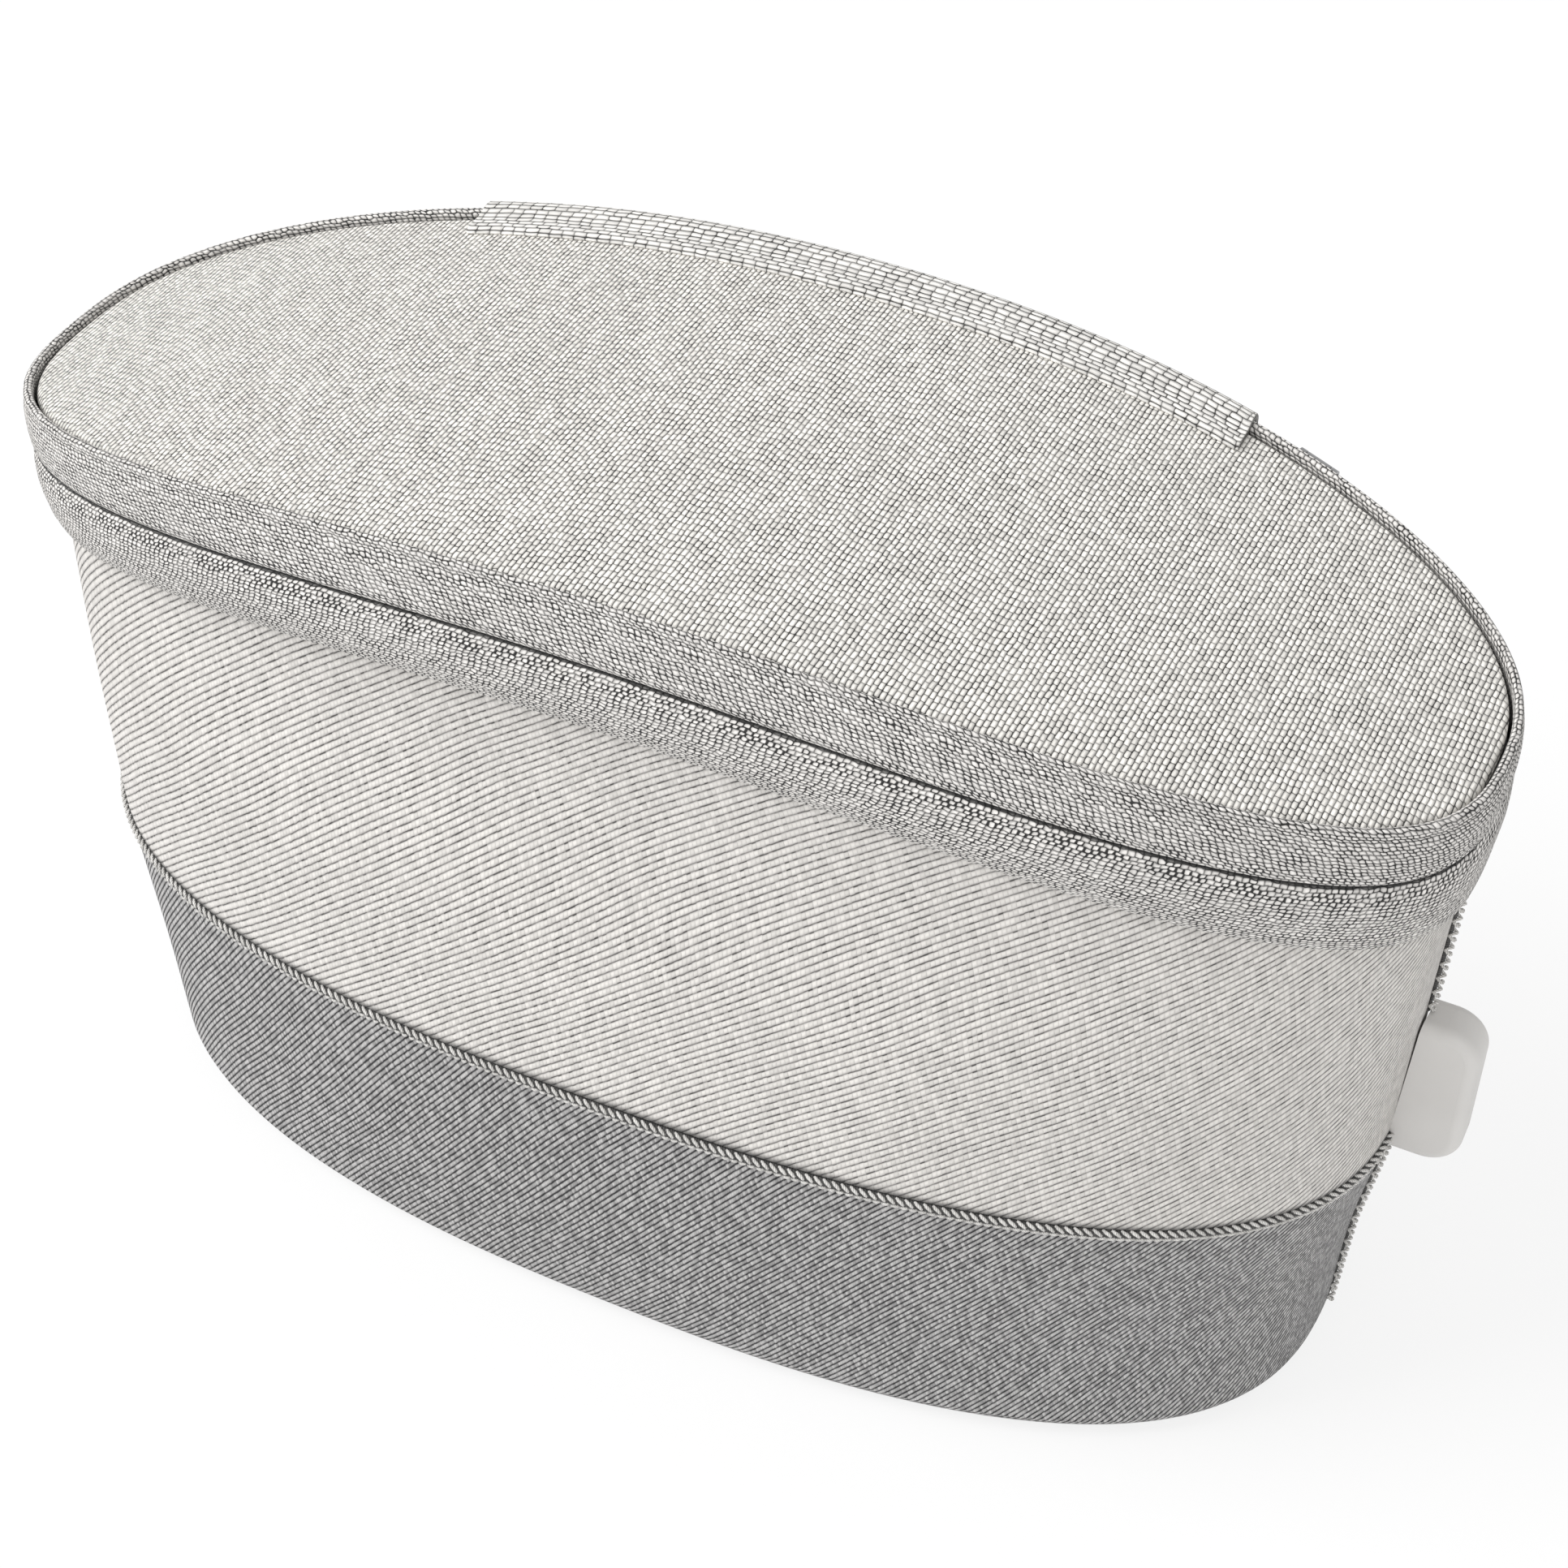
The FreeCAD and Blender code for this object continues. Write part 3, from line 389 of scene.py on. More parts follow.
def ribbed_twill(name, light, dark, pitch, period, steepness, groove, strength, flecks, tuck_shade_top=None):
    """Twill in steep ribs of short floats that lean the other way; whole ribs fit round the bag."""
    slope = round(steepness * seam_run / period) * period / seam_run
    lean = 0.3
    depth = 0.3
    g = Graph(name)
    u, v = g.uv()
    wobble = g.noise(g.place(), 50.0, 0.0)
    across = g.add(g.math("DIVIDE", g.add(u, g.times(v, lean)), pitch), g.times(wobble, 1.2))
    rib = g.add(g.math("DIVIDE", g.less(v, g.times(u, slope)), period), g.times(wobble, 0.8))
    i = g.math("FLOOR", across)
    j = g.math("FLOOR", rib)
    crest = g.power(g.wave(rib), 0.5)
    height = g.times(crest, g.add(0.7, g.times(g.power(g.wave(across), 0.5), 0.3)))
    deep = g.add(strength, g.times(g.power(g.chance(i, j), 1.5), 0.8))
    fleck = g.times(g.chance(j, i), flecks)
    # Painted shade in the grooves between the ribs.
    colour = yarn_colour(g, g.fade(crest, 0.3, groove), deep, fleck, light, dark)
    # Painted shade along the wrap's foot, where it tucks in behind the piping.
    if tuck_shade_top is not None:
        foot = g.fade(v, tuck_shade_top, tuck_shade_top + 1.4)
        colour = g.mix(g.times(foot, 0.8), colour, gap_shade)
    return cloth_finish(g, colour, height, depth)


def tape_knit(name, row, row_width):
    """Knit of the zip tapes in small uneven loops, with painted shade in the gaps between loops, in a row
    of holes and at the zip line; v is measured from the zip line.
    """
    light = (0.84, 0.815, 0.785)
    # The dark colour is painted shade, in the gaps between loops and in the holes.
    dark = (0.03, 0.029, 0.028)
    slant = 0.45
    depth = 0.35
    g = Graph(name)
    u, v = g.uv()
    run = g.add(u, g.times(v, slant))
    along, across, i, j = floats(g, run, v, length=0.95, pitch=0.66, sway=1.3, bends=0.6)
    height = g.times(g.power(across, 0.5), g.power(along, 0.45))
    pick = g.chance(i, j)
    open_row = g.fade(g.math("ABSOLUTE", g.less(v, row)), 0.6 * row_width, row_width)
    # Holes of the open row, painted in as dark shade.
    hole = g.times(g.fade(along, 0.25, 0.8), g.times(open_row, g.less(1.0, g.fade(pick, 0.3, 0.5))))
    strength = g.add(0.45, g.times(g.power(pick, 2.0), 1.7))
    fleck = g.add(g.times(g.chance(j, i), 0.22), hole)
    colour = yarn_colour(g, g.fade(height, 0.2, 0.78), strength, fleck, light, dark)
    # Painted shade in the gap at the zip line.
    zip_gap_shade = g.fade(v, 0.0, 0.5)
    colour = g.mix(g.times(zip_gap_shade, 0.9), colour, gap_shade)
    return cloth_finish(g, colour, height, depth)


def cord_yarn(name, light, dark):
    """Twisted yarn of the piping and the seam threads; v runs round the strand."""
    g = Graph(name)
    u, v = g.uv()
    lines = g.add(g.times(u, 2.6), g.times(v, 3.0))
    fibre = g.wave(lines)
    patch = g.chance(g.math("FLOOR", g.times(u, 0.9)), g.math("FLOOR", v))
    # Painted shade between the twisted fibres, with patches of the yarn's own tone.
    share = g.add(g.times(g.less(1.0, fibre), 0.4), g.times(patch, 0.5))
    return cloth_finish(g, g.mix(share, light, dark), fibre, 0.08)


def moulded(name, colour, roughness, grain=0.02, scale=1400.0):
    """Moulded plastic or rubber with fine grain and slight wear in its tone."""
    g = Graph(name)
    fine = g.noise(g.place(), scale, 3.0)
    broad = g.noise(g.place(), 90.0, 2.0)
    darker = tuple(0.88 * c for c in colour)
    g.bump(fine, grain)
    rough = g.add(roughness - 0.06, g.times(broad, 0.12))
    return g.finish(g.mix(g.times(broad, 0.8), colour, darker), rough)


def brushed(name, colour, roughness):
    """Metal with fine brush lines along X."""
    g = Graph(name)
    node = g.tree.nodes.new("ShaderNodeMapping")
    node.inputs["Scale"].default_value = (60.0, 2600.0, 2600.0)
    g.put(node.inputs["Vector"], g.place())
    lines = g.noise(node.outputs["Vector"], 1.0, 3.0)
    g.bump(lines, 0.01)
    rough = g.add(roughness - 0.08, g.times(lines, 0.16))
    return g.finish(g.mix(lines, colour, tuple(0.8 * c for c in colour)), rough, Metallic=1.0)


def satin_liner(name):
    """Reflecting coated cloth with a fine grid of ribs."""
    g = Graph(name)
    u, v = g.uv()
    ribs = g.math("MAXIMUM", g.power(g.wave(g.times(u, 0.9)), 8.0), g.power(g.wave(g.times(v, 0.9)), 8.0))
    crease = g.noise(g.place(), 120.0, 4.0)
    height = g.add(g.times(ribs, 0.35), crease)
    g.bump(height, 0.35)
    rough = g.add(0.28, g.times(crease, 0.16))
    return g.finish(g.mix(crease, (0.80, 0.80, 0.82), (0.62, 0.62, 0.65)), rough, Metallic=0.75)


def clear_glass(name):
    """Clear window with a slight haze."""
    g = Graph(name)
    haze = g.noise(g.place(), 300.0, 2.0)
    return g.finish((0.93, 0.95, 0.97), g.add(0.02, g.times(haze, 0.05)), Transmission_Weight=1.0, IOR=1.46)


# The dark colour of the lid and strip weaves is painted shade in their crevices.
weave_crevice_shade = (0.05, 0.048, 0.045)
lid_weave = float_weave("lid_weave", (0.95, 0.925, 0.875), weave_crevice_shade, length=1.35, pitch=0.74,
                        depth=0.4, turned=True)
strip_weave = float_weave("strip_weave", (0.90, 0.88, 0.845), weave_crevice_shade, length=1.9, pitch=0.92,
                          depth=0.45)
# The dark colours of the twills are painted shade in their grooves.
pale_twill = ribbed_twill("pale_twill", (0.71, 0.685, 0.655), (0.08, 0.076, 0.072), pitch=0.7, period=1.33,
                          steepness=0.84, groove=0.88, strength=0.22, flecks=0.2, tuck_shade_top=2.8)
grey_twill = ribbed_twill("grey_twill", (0.54, 0.53, 0.525), (0.016, 0.016, 0.018), pitch=0.5, period=1.45,
                          steepness=1.4, groove=0.98, strength=0.65, flecks=0.52)
body_tape = tape_knit("body_tape_knit", row=2.0, row_width=1.2)
lid_tape = tape_knit("lid_tape_knit", row=1.6, row_width=0.5)
thread_yarn = cord_yarn("thread_yarn", (0.78, 0.765, 0.74), (0.44, 0.43, 0.41))
dark_thread = cord_yarn("dark_thread", (0.10, 0.098, 0.095), (0.035, 0.035, 0.035))
coil_nylon = moulded("coil_nylon", (0.11, 0.11, 0.115), 0.45)
silicone = moulded("soft_silicone", (0.64, 0.625, 0.605), 0.5, grain=0.015, scale=2200.0)
liner_cloth = satin_liner("liner_cloth")
white_plastic = moulded("white_plastic", (0.80, 0.80, 0.78), 0.42)
grey_plastic = moulded("grey_plastic", (0.20, 0.20, 0.205), 0.5, grain=0.03)
button_plastic = moulded("button_plastic", (0.45, 0.45, 0.455), 0.38)
lens_plastic = moulded("lens_plastic", (0.75, 0.78, 0.82), 0.18)
circuit_green = moulded("circuit_green", (0.03, 0.16, 0.07), 0.35)
chip_yellow = moulded("chip_yellow", (0.75, 0.62, 0.25), 0.3)
lead_white = moulded("lead_white", (0.62, 0.62, 0.62), 0.5)
battery_wrap = moulded("battery_wrap", (0.07, 0.09, 0.12), 0.3)
black_plastic = moulded("black_plastic", (0.012, 0.012, 0.012), 0.5)
foam_grey = moulded("foam_grey", (0.08, 0.08, 0.085), 0.9, grain=0.3, scale=700.0)
steel = brushed("steel", (0.62, 0.62, 0.63), 0.32)
zip_metal = brushed("zip_metal", (0.45, 0.45, 0.455), 0.42)
window_glass = clear_glass("window_glass")


def dress(obj, material, body, slot, *nodes):
    """Gives a piece its material, the body it rides on and the nodes it stands for; slot is not used."""
    obj.data.materials.append(material)
    if body:
        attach(obj, body)
    if nodes:
        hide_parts(*nodes)


# Wraps


def back_window(node, room_x, room_z):
    """Test for points on the back inside a node's box, with room round it or, below zero, drawn in."""
    low, high = (np.asarray(corner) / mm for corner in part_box(node))

    def inside(point):
        across = low[0] - room_x < point[0] < high[0] + room_x
        upright = low[2] - room_z < point[2] < high[2] + room_z
        return point[1] > 0.0 and across and upright

    return inside


def profile_run(rings, column):
    """Length along a profile at one column."""
    rings = np.asarray(rings)
    steps = np.linalg.norm(np.diff(rings[:, column], axis=0), axis=1)
    return np.concatenate([[0.0], np.cumsum(steps)])


def inner_rows(last, count):
    """UV heights of the rings on the inner side, after the last outer one."""
    return [last + 1.0 + 5.0 * i for i in range(count)]


def upper_wrap():
    """Pale wrap from the seam to the zip: tucked in behind the piping and under the zip band."""
    low_ends = seam_ends + 1.0
    high_ends = zip_ends - 5.5
    low = (seam_length + seam_proud, seam_width + seam_proud, seam_power)
    stations = [(low_ends, *low), (chest_height, *chest_outline), (shoulder_height, *shoulder_outline),
                (high_ends + zip_arch, *shoulder_outline)]
    heights = np.linspace(low_ends, high_ends + zip_arch, 300)
    sizes = hermite(stations, heights)

    def ring(share, inward):
        """Ring at a share of the way up; its heights and outline are found by turns."""
        x, y = oval(*chest_outline, seam_turns)
        for step in range(6):
            foot = arch(low_ends, seam_arch, x)
            z = foot + share * (arch(high_ends, zip_arch, x) - foot)
            level = z - (1.0 - share) ** 3 * (foot - low_ends)
            a, b, n = (np.interp(level, heights, sizes[:, k]) for k in (1, 2, 3))
            x, y = oval(a - inward, b - inward, n, seam_turns)
        return ring_points(x, y, z)

    shares = np.linspace(0.0, 1.0, 40)
    tuck = []
    for inward, down in ((2.2, 0.9), (1.4, 0.95), (0.7, 0.6), (0.25, 0.1)):
        a, b, n = low
        tuck.append(wall_ring(a - inward, b - inward, n, low_ends - down, seam_arch, seam_turns))
    outer = ripple(np.asarray(tuck + [ring(s, 0.0) for s in shares]), depth=0.16)
    inner = [ring(s, fabric) for s in shares[::-6]]
    tucked_v = 3.0
    hidden = profile_run(outer[:len(tuck) + 1], columns // 2)
    rows = [np.full(columns, tucked_v + t - hidden[-1]) for t in hidden[:-1]]
    rows += [tucked_v + p[:, 2] - arch(low_ends, seam_arch, p[:, 0]) for p in outer[len(tuck):]]
    rows += inner_rows(rows[-1], len(inner) + 1)
    obj = loft("upper_wrap_cloth", list(outer) + inner, seam_u, rows, closed=True)
    dress(obj, pale_twill, "bag_body", "pale_twill", "upper_wrap")


def lower_wrap():
    """Grey wrap: turned in at the piping, swelling to the seam and rolled under at the base."""
    top = (seam_ends - 1.0, seam_length + seam_proud, seam_width + seam_proud, seam_power, seam_arch)
    flank = (flank_height, *flank_outline, 0.0)
    foot = (wrap_lift + base_round, *base_outline, 0.0)
    sets = hermite([foot, flank, top], np.linspace(foot[0], top[0], 26))
    a, b, n = base_outline
    rolled = []
    for turn in np.linspace(90.0, 0.0, 9)[:-1]:
        draw_in = base_round * (1.0 - math.cos(math.radians(turn)))
        level = wrap_lift + base_round * (1.0 - math.sin(math.radians(turn)))
        rolled.append((level, a - draw_in, b - draw_in, n, 0.0))
    hole = []
    for inward, up in ((9.4, 0.6), (8.9, 0.0)):
        hole.append((wrap_lift + up, a - inward, b - inward, n, 0.0))
    stations = np.concatenate([hole, rolled, sets])
    outer = [wall_ring(a, b, n, z, rise, seam_turns) for z, a, b, n, rise in stations]
    lip = []
    for inward, up in ((0.25, 0.45), (0.8, 0.75), (1.6, 0.8)):
        z, a, b, n, rise = top
        lip.append(wall_ring(a - inward, b - inward, n, z + up, rise, seam_turns))
    outer = np.asarray(outer + lip)
    flat_rings = len(hole) + len(rolled)
    outer[flat_rings:] = ripple(outer[flat_rings:], depth=0.12)
    inner = [wall_ring(a - fabric, b - fabric, n, max(z, wrap_lift + fabric), rise, seam_turns)
             for z, a, b, n, rise in np.concatenate([rolled, sets[::6]])][::-1]
    v = profile_run(outer, columns // 2)
    rings = list(outer) + inner
    v = list(v) + inner_rows(v[-1], len(inner) + 1)
    behind_panel = back_window("control_panel", room_x=-4.0, room_z=-3.0)

    def cut(p, q):
        return behind_panel(0.5 * (p + q))

    obj = loft("lower_wrap_cloth", rings, seam_u, v, closed=True, cut=cut)
    dress(obj, grey_twill, "bag_body", "grey_twill", "lower_wrap")


def underside():
    """Sewn panel under the bag, a little crowned between its stitched rim and the middle."""
    rim = 9.9
    lowest = 0.05
    crown = 0.25
    turn_up = 0.6
    a, b, n = base_outline
    half_length = a - rim
    half_width = b - rim
    rings = []
    for k in np.linspace(0.04, 1.0, 20):
        x, y = oval(k * half_length, k * half_width, n, seam_turns[::2])
        near_rim = 1.0 - min(1.0, (1.0 - k) / 0.06)
        at_rim = max(0.0, (k - 0.97) / 0.03)
        level = lowest + crown * near_rim + turn_up * at_rim
        rings.append(ring_points(x, y, level))
    x, y = oval(half_length, half_width, n, seam_turns[::2])
    rings.append(ring_points(x, y, wrap_lift + fabric))
    obj = disc("underside_cloth", rings)
    obj.data.flip_normals()
    dress(obj, grey_twill, "bag_body", "grey_twill", "bottom_panel")


# Zip band


def band(name, profile, material, body, node):
    """Closed band round the mouth: (offset, height, share of the hem's height, v) per profile point."""
    flare_heights = (-13.0, -8.45, -3.9)
    flare_reach = (1.5, 0.15, 0.0)
    hem = lid_rise + hem_rise
    rings = []
    for offset, rise, share, v in profile:
        if share:
            rings.append(zip_ring(offset, lambda x, y: rise + share * (hem - lid_slope * y)))
        else:
            rings.append(zip_ring(offset, rise, float(np.interp(rise, flare_heights, flare_reach))))
    v = [row[3] for row in profile] + [profile[0][3]]
    obj = loft(name, rings, mouth_u, v, closed=True)
    dress(obj, material, body, "zip_knit", node)


def zip_tapes():
    """Lower band rolling in to the wall, and upper band with a rolled hem along the lid."""
    lower = [(-1.2, -0.9, 0, -1.2), (-0.95, -0.4, 0, -0.6), (-0.5, -0.2, 0, -0.1), (-0.12, -0.32, 0, 0.3),
             (0.08, -0.75, 0, 0.75), (0.12, -1.1, 0, 1.1), (0.25, -1.6, 0, 1.6), (0.38, -2.6, 0, 2.6),
             (0.42, -3.9, 0, 3.9), (0.36, -5.4, 0, 5.4), (0.15, -7.0, 0, 7.0), (-0.2, -8.6, 0, 8.6),
             (-0.75, -10.2, 0, 10.2), (-1.4, -11.6, 0, 11.7), (-1.85, -12.5, 0, 12.7),
             (-2.2, -13.05, 0, 13.3), (-2.6, -13.3, 0, 13.7), (-3.05, -13.1, 0, 14.2),
             (-3.3, -12.5, 0, 14.8), (-2.7, -11.4, 0, 16.0), (-1.6, -8.6, 0, 19.0),
             (-1.0, -5.0, 0, 22.0), (-1.0, -2.5, 0, 25.0)]
    band("body_tape_cloth", lower, body_tape, "bag_body", "zip_tape_body")
    upper = [(-1.2, 0.9, 0, -1.2), (-0.95, 0.4, 0, -0.6), (-0.5, 0.2, 0, -0.1), (-0.12, 0.32, 0, 0.3),
             (0.1, 0.75, 0, 0.8), (0.2, 1.3, 0, 1.35), (0.32, 2.0, 0, 2.1), (0.42, 0.3, 0.35, 3.8),
             (0.44, 0.0, 0.55, 5.5), (0.34, 0.0, 0.75, 7.5), (0.12, 0.0, 0.88, 8.8), (-0.06, -0.75, 1, 9.6),
             (-0.04, -0.45, 1, 9.9), (0.02, -0.1, 1, 10.3), (-0.08, 0.25, 1, 10.7), (-0.4, 0.48, 1, 11.1),
             (-0.8, 0.46, 1, 11.5), (-1.15, 0.2, 1, 11.9), (-1.3, -0.3, 1, 12.4), (-1.3, -1.2, 1, 13.3),
             (-1.05, 0.0, 0.6, 15.5), (-1.0, 0.3, 0.35, 18.0)]
    band("lid_tape_cloth", upper, lid_tape, "lid", "zip_tape_lid")


def frames_along(points):
    """Outward and up directions along a closed run of points."""
    ahead = np.roll(points, -1, axis=0) - np.roll(points, 1, axis=0)
    ahead /= np.linalg.norm(ahead, axis=1)[:, None]
    outward = np.cross(ahead, np.array([0.0, 0.0, 1.0]))
    outward /= np.linalg.norm(outward, axis=1)[:, None]
    return outward, np.cross(outward, ahead)


def circles(ahead, sides):
    """Unit circles square to the given directions."""
    slanted = np.array([0.31, 0.27, 0.91])
    ahead = ahead / np.linalg.norm(ahead, axis=-1)[..., None]
    side = np.cross(ahead, slanted)
    side /= np.linalg.norm(side, axis=-1)[..., None]
    up = np.cross(side, ahead)
    around = np.arange(sides) * 2.0 * math.pi / sides
    return np.cos(around)[:, None] * side[..., None, :] + np.sin(around)[:, None] * up[..., None, :]


def sleeve(faces, uvs, a, b, sides, low, high):
    """Adds the faces between two rings of a strand, whose points start at a and b, and their UVs."""
    for j in range(sides):
        n = (j + 1) % sides
        left = j / sides
        right = (j + 1) / sides
        faces.append((a + j, b + j, b + n, a + n))
        uvs += [(low, left), (high, left), (high, right), (low, right)]


def tube(name, path, radius, sides):
    """Round strand along a closed run of points; u runs along it in millimetres and v once round it."""
    ahead = np.roll(path, -1, axis=0) - np.roll(path, 1, axis=0)
    points = path[:, None] + radius * circles(ahead, sides)
    run = np.concatenate([[0.0], np.cumsum(np.linalg.norm(np.diff(path, axis=0), axis=1))])
    u = list(run) + [run[-1] + (run[1] - run[0])]
    count = len(path)
    faces = []
    uvs = []
    for i in range(count):
        sleeve(faces, uvs, i * sides, (i + 1) % count * sides, sides, u[i], u[i + 1])
    return mesh_object(name, points.reshape(-1, 3), faces, uvs)


def zip_coils():
    """Two nylon coils behind the tapes, one on each side of the zip line."""
    pitch = 1.3
    steps = 12
    inset = 1.9
    from_line = 0.95
    wire_radius = 0.16
    coil_out = 0.42
    coil_up = 0.3
    loops = int(mouth_run / pitch)
    outline = (mouth_length - inset, mouth_width - inset, mouth_power)
    x, y = oval(*outline, even_turns(*outline, loops * steps)[0])
    base = ring_points(x, y, zip_line(x))
    outward, up = frames_along(base)
    phase = np.arange(loops * steps) * 2.0 * math.pi / steps
    coil = coil_out * np.cos(phase)[:, None] * outward + coil_up * np.sin(phase)[:, None] * up
    halves = (("body_coil", -1, "bag_body", "zip_coil_body"), ("lid_coil", 1, "lid", "zip_coil_lid"))
    for name, sign, body, node in halves:
        path = base + sign * from_line * up + coil
        dress(tube(name, path, wire_radius, sides=5), coil_nylon, body, "zip_coil", node)


def strands(name, paths, radius, sides):
    """One mesh of many short round strands with drawn-in ends; paths is strands by points by XYZ."""
    paths = np.asarray(paths)
    many, count = paths.shape[:2]
    thickness = radius * np.sin(np.linspace(0.3, math.pi - 0.3, count)) ** 0.4
    rings = circles(np.gradient(paths, axis=1), sides)
    points = paths[:, :, None] + thickness[None, :, None, None] * rings
    steps = np.linalg.norm(np.diff(paths, axis=1), axis=2)
    run = np.concatenate([np.zeros((many, 1)), np.cumsum(steps, axis=1)], axis=1)
    faces = []
    uvs = []
    for k in range(many):
        first = k * count * sides
        for i in range(count - 1):
            a = first + i * sides
            sleeve(faces, uvs, a, a + sides, sides, run[k, i] + k, run[k, i + 1] + k)
        last = first + (count - 1) * sides
        faces.append(tuple(first + j for j in range(sides)))
        faces.append(tuple(last + j for j in reversed(range(sides))))
        uvs += [(k, 0.0)] * (2 * sides)
    return mesh_object(name, points.reshape(-1, 3), faces, uvs)


def piping():
    """Dark cord in the seam with a braid of light yarns laid over its outer side."""
    pitch = 1.3
    steps = 10
    proud = 0.1
    core = 0.72
    yarn = 0.27
    yarn_lift = 0.1
    yarn_points = 7
    loops = int(seam_run / pitch)
    count = loops * steps
    cord_turns = even_turns(*seam_outline, count)[0]
    x, y = oval(seam_length + proud, seam_width + proud, seam_power, cord_turns)
    base = ring_points(x, y, arch(seam_ends, seam_arch, x))
    outward, up = frames_along(base)
    obj = tube("piping_core", base[::5], core, sides=9)
    dress(obj, dark_thread, "bag_body", "seam_cord", "seam_piping")
    paths = []
    for row, shift in ((1, 0.0), (-1, 0.4)):
        turn = row * np.radians(np.linspace(78.0, 14.0, yarn_points))
        for k in range(loops):
            along = np.linspace(0.0, steps, yarn_points) + (k + shift) * steps
            spot = np.round(along).astype(int) % count
            lay = np.cos(turn)[:, None] * outward[spot] + np.sin(turn)[:, None] * up[spot]
            paths.append(base[spot] + (core + yarn_lift) * lay)
    obj = strands("piping_braid", paths, yarn, sides=6)
    dress(obj, thread_yarn, "bag_body", "seam_cord", "seam_piping")


# Lid


def lid_cushion():
    """Stretched lid fabric over its foam, rolled over at the edge inside the hem."""
    edge = 1.75
    roll = 1.1
    puff_height = 0.55
    under = 1.0
    thick = 1.2
    half_length = mouth_length - edge
    half_width = mouth_width - edge
    rings = []
    for k in np.linspace(0.02, 1.0, 34):
        x, y = oval(k * (half_length - roll), k * (half_width - roll), mouth_power, mouth_turns)
        puff = puff_height * (1.0 - k ** 4)
        rings.append(ring_points(x, y, lid_top(x, y) + puff))
    rolled = []
    for turn in np.radians(np.linspace(12.0, 90.0, 7)):
        rolled.append((-edge - roll * (1.0 - math.sin(turn)), roll * (1.0 - math.cos(turn))))
    for offset, drop in rolled + [(-edge - 0.05, 2.2), (-edge - 0.7, 2.9)]:
        rings.append(zip_ring(offset, lambda x, y: lid_rise - lid_slope * y - drop))
    for k in np.linspace(0.98, 0.02, 8):
        x, y = oval(k * (half_length - under), k * (half_width - under), mouth_power, mouth_turns)
        rings.append(ring_points(x, y, lid_top(x, y) - thick))
    obj = disc("lid_cushion", rings)
    dress(obj, lid_weave, "lid", "pale_weave", "lid_fabric")


def lid_lining():
    """Reflecting sheet under the lid, turned up over the lid wire to the tape."""
    inset = 5.4
    depth = 5.0
    quilt = 0.42
    tape_height = 2.6
    rings = []
    for k in np.linspace(0.02, 1.0, 30):
        x, y = oval(k * (mouth_length - inset), k * (mouth_width - inset), mouth_power, mouth_turns)
        sag = 0.35 * (1.0 - k ** 4) + 0.12 * np.cos(quilt * x) * np.cos(quilt * y)
        rings.append(ring_points(x, y, lid_top(x, y) - depth + 0.1 - sag * 0.3))

    def between(share):
        """Height at a share of the way from the sheet to the tape."""
        return lambda x, y: (1.0 - share) * (lid_rise - lid_slope * y - depth) + share * tape_height

    turned_up = ((-4.9, between(0.35)), (-4.2, between(0.75)), (-3.4, 2.0), (-2.6, 1.7), (-1.35, 1.6))
    rings += [zip_ring(offset, height) for offset, height in turned_up]
    obj = disc("lid_lining", rings)
    obj.data.flip_normals()
    dress(obj, liner_cloth, "lid", "bright_liner", "lid_liner")


# Hinge strip

strip_half_width = 59.5
strip_pieces = 8
sections_per_piece = 14
strip_above = hem_rise + 0.2

# Points of the strip's section: offset from the mouth, height, and 1 for a height from the lid's top
strip_outer = [(-7.3, 0.15, 1), (-7.4, 0.5, 1), (-7.2, 0.85, 1), (-6.7, 1.1, 1), (-6.0, 1.2, 1),
               (-5.2, 1.2, 1), (-4.4, 1.18, 1), (-3.7, 1.2, 1), (-3.0, 1.3, 1), (-2.3, 1.55, 1),
               (-1.5, 1.85, 1), (-0.6, 1.95, 1), (0.3, 1.8, 1), (1.0, 1.4, 1), (1.5, 0.8, 1),
               (1.72, 0.1, 1)]
fold_heights = (3.0, 2.0, 1.3, 0.8, 0.4, 0.0, -0.4, -1.0, -2.0, -4.0, -6.0)
strip_outer += [(1.75, height, 0) for height in fold_heights]
strip_outer += [(1.7, -7.8, 0), (1.6, -8.6, 0), (1.3, -9.0, 0), (0.9, -8.9, 0)]
strip_inner = [(0.6, height, 0) for height in (-8.4, -6.0, -3.0, -1.0, -0.2, 0.4, 0.9, 1.4, 2.2)]
strip_inner += [(0.55, strip_above - 0.4, 1), (0.2, strip_above, 1), (-1.5, 0.6, 1), (-4.0, 0.4, 1),
                (-6.8, 0.2, 1)]
strip_points = len(strip_outer) + len(strip_inner)

# Sections that round the strip's ends: how far out, and the share drawn in to the middle
strip_ends = ((0.5, 0.03), (0.35, 0.012))


def strip_depth(offset, x):
    """Depth y of the mouth's offset outline at x, on the back."""
    a = mouth_length + offset
    b = mouth_width + offset
    return b * (1.0 - np.abs(x / a) ** mouth_power) ** (1.0 / mouth_power)


def strip_section(x):
    """Points round the folded strip at x."""
    points = []
    for offset, height, from_lid in strip_outer + strip_inner:
        y = float(strip_depth(offset, x))
        base = lid_top(x, y) if from_lid else zip_line(x)
        points.append((x, y, base + height))
    return np.asarray(points)


def round_end(section, sign):
    """Sections that draw the strip's end in to a rounded edge, from the outermost one in."""
    middle = section.mean(axis=0)
    rings = []
    for reach, pull in strip_ends:
        ring = section.copy()
        ring[:, 0] += sign * reach
        ring[:, 1:] += pull * (middle[1:] - ring[:, 1:])
        rings.append(ring)
    return rings


def end_faces(first, order):
    """Faces between the outer and inner points of the section that starts at a point's number."""
    last_inner = len(strip_inner) - 1
    faces = []
    for j in range(len(strip_outer) - 1):
        steps = [int(k * len(strip_inner) / len(strip_outer)) for k in (j, j + 1)]
        back = [first + strip_points - 1 - min(step, last_inner) for step in steps]
        face = [first + j, first + j + 1, back[1]]
        if back[0] != back[1]:
            face.append(back[0])
        faces.append(tuple(face[::order]))
    return faces


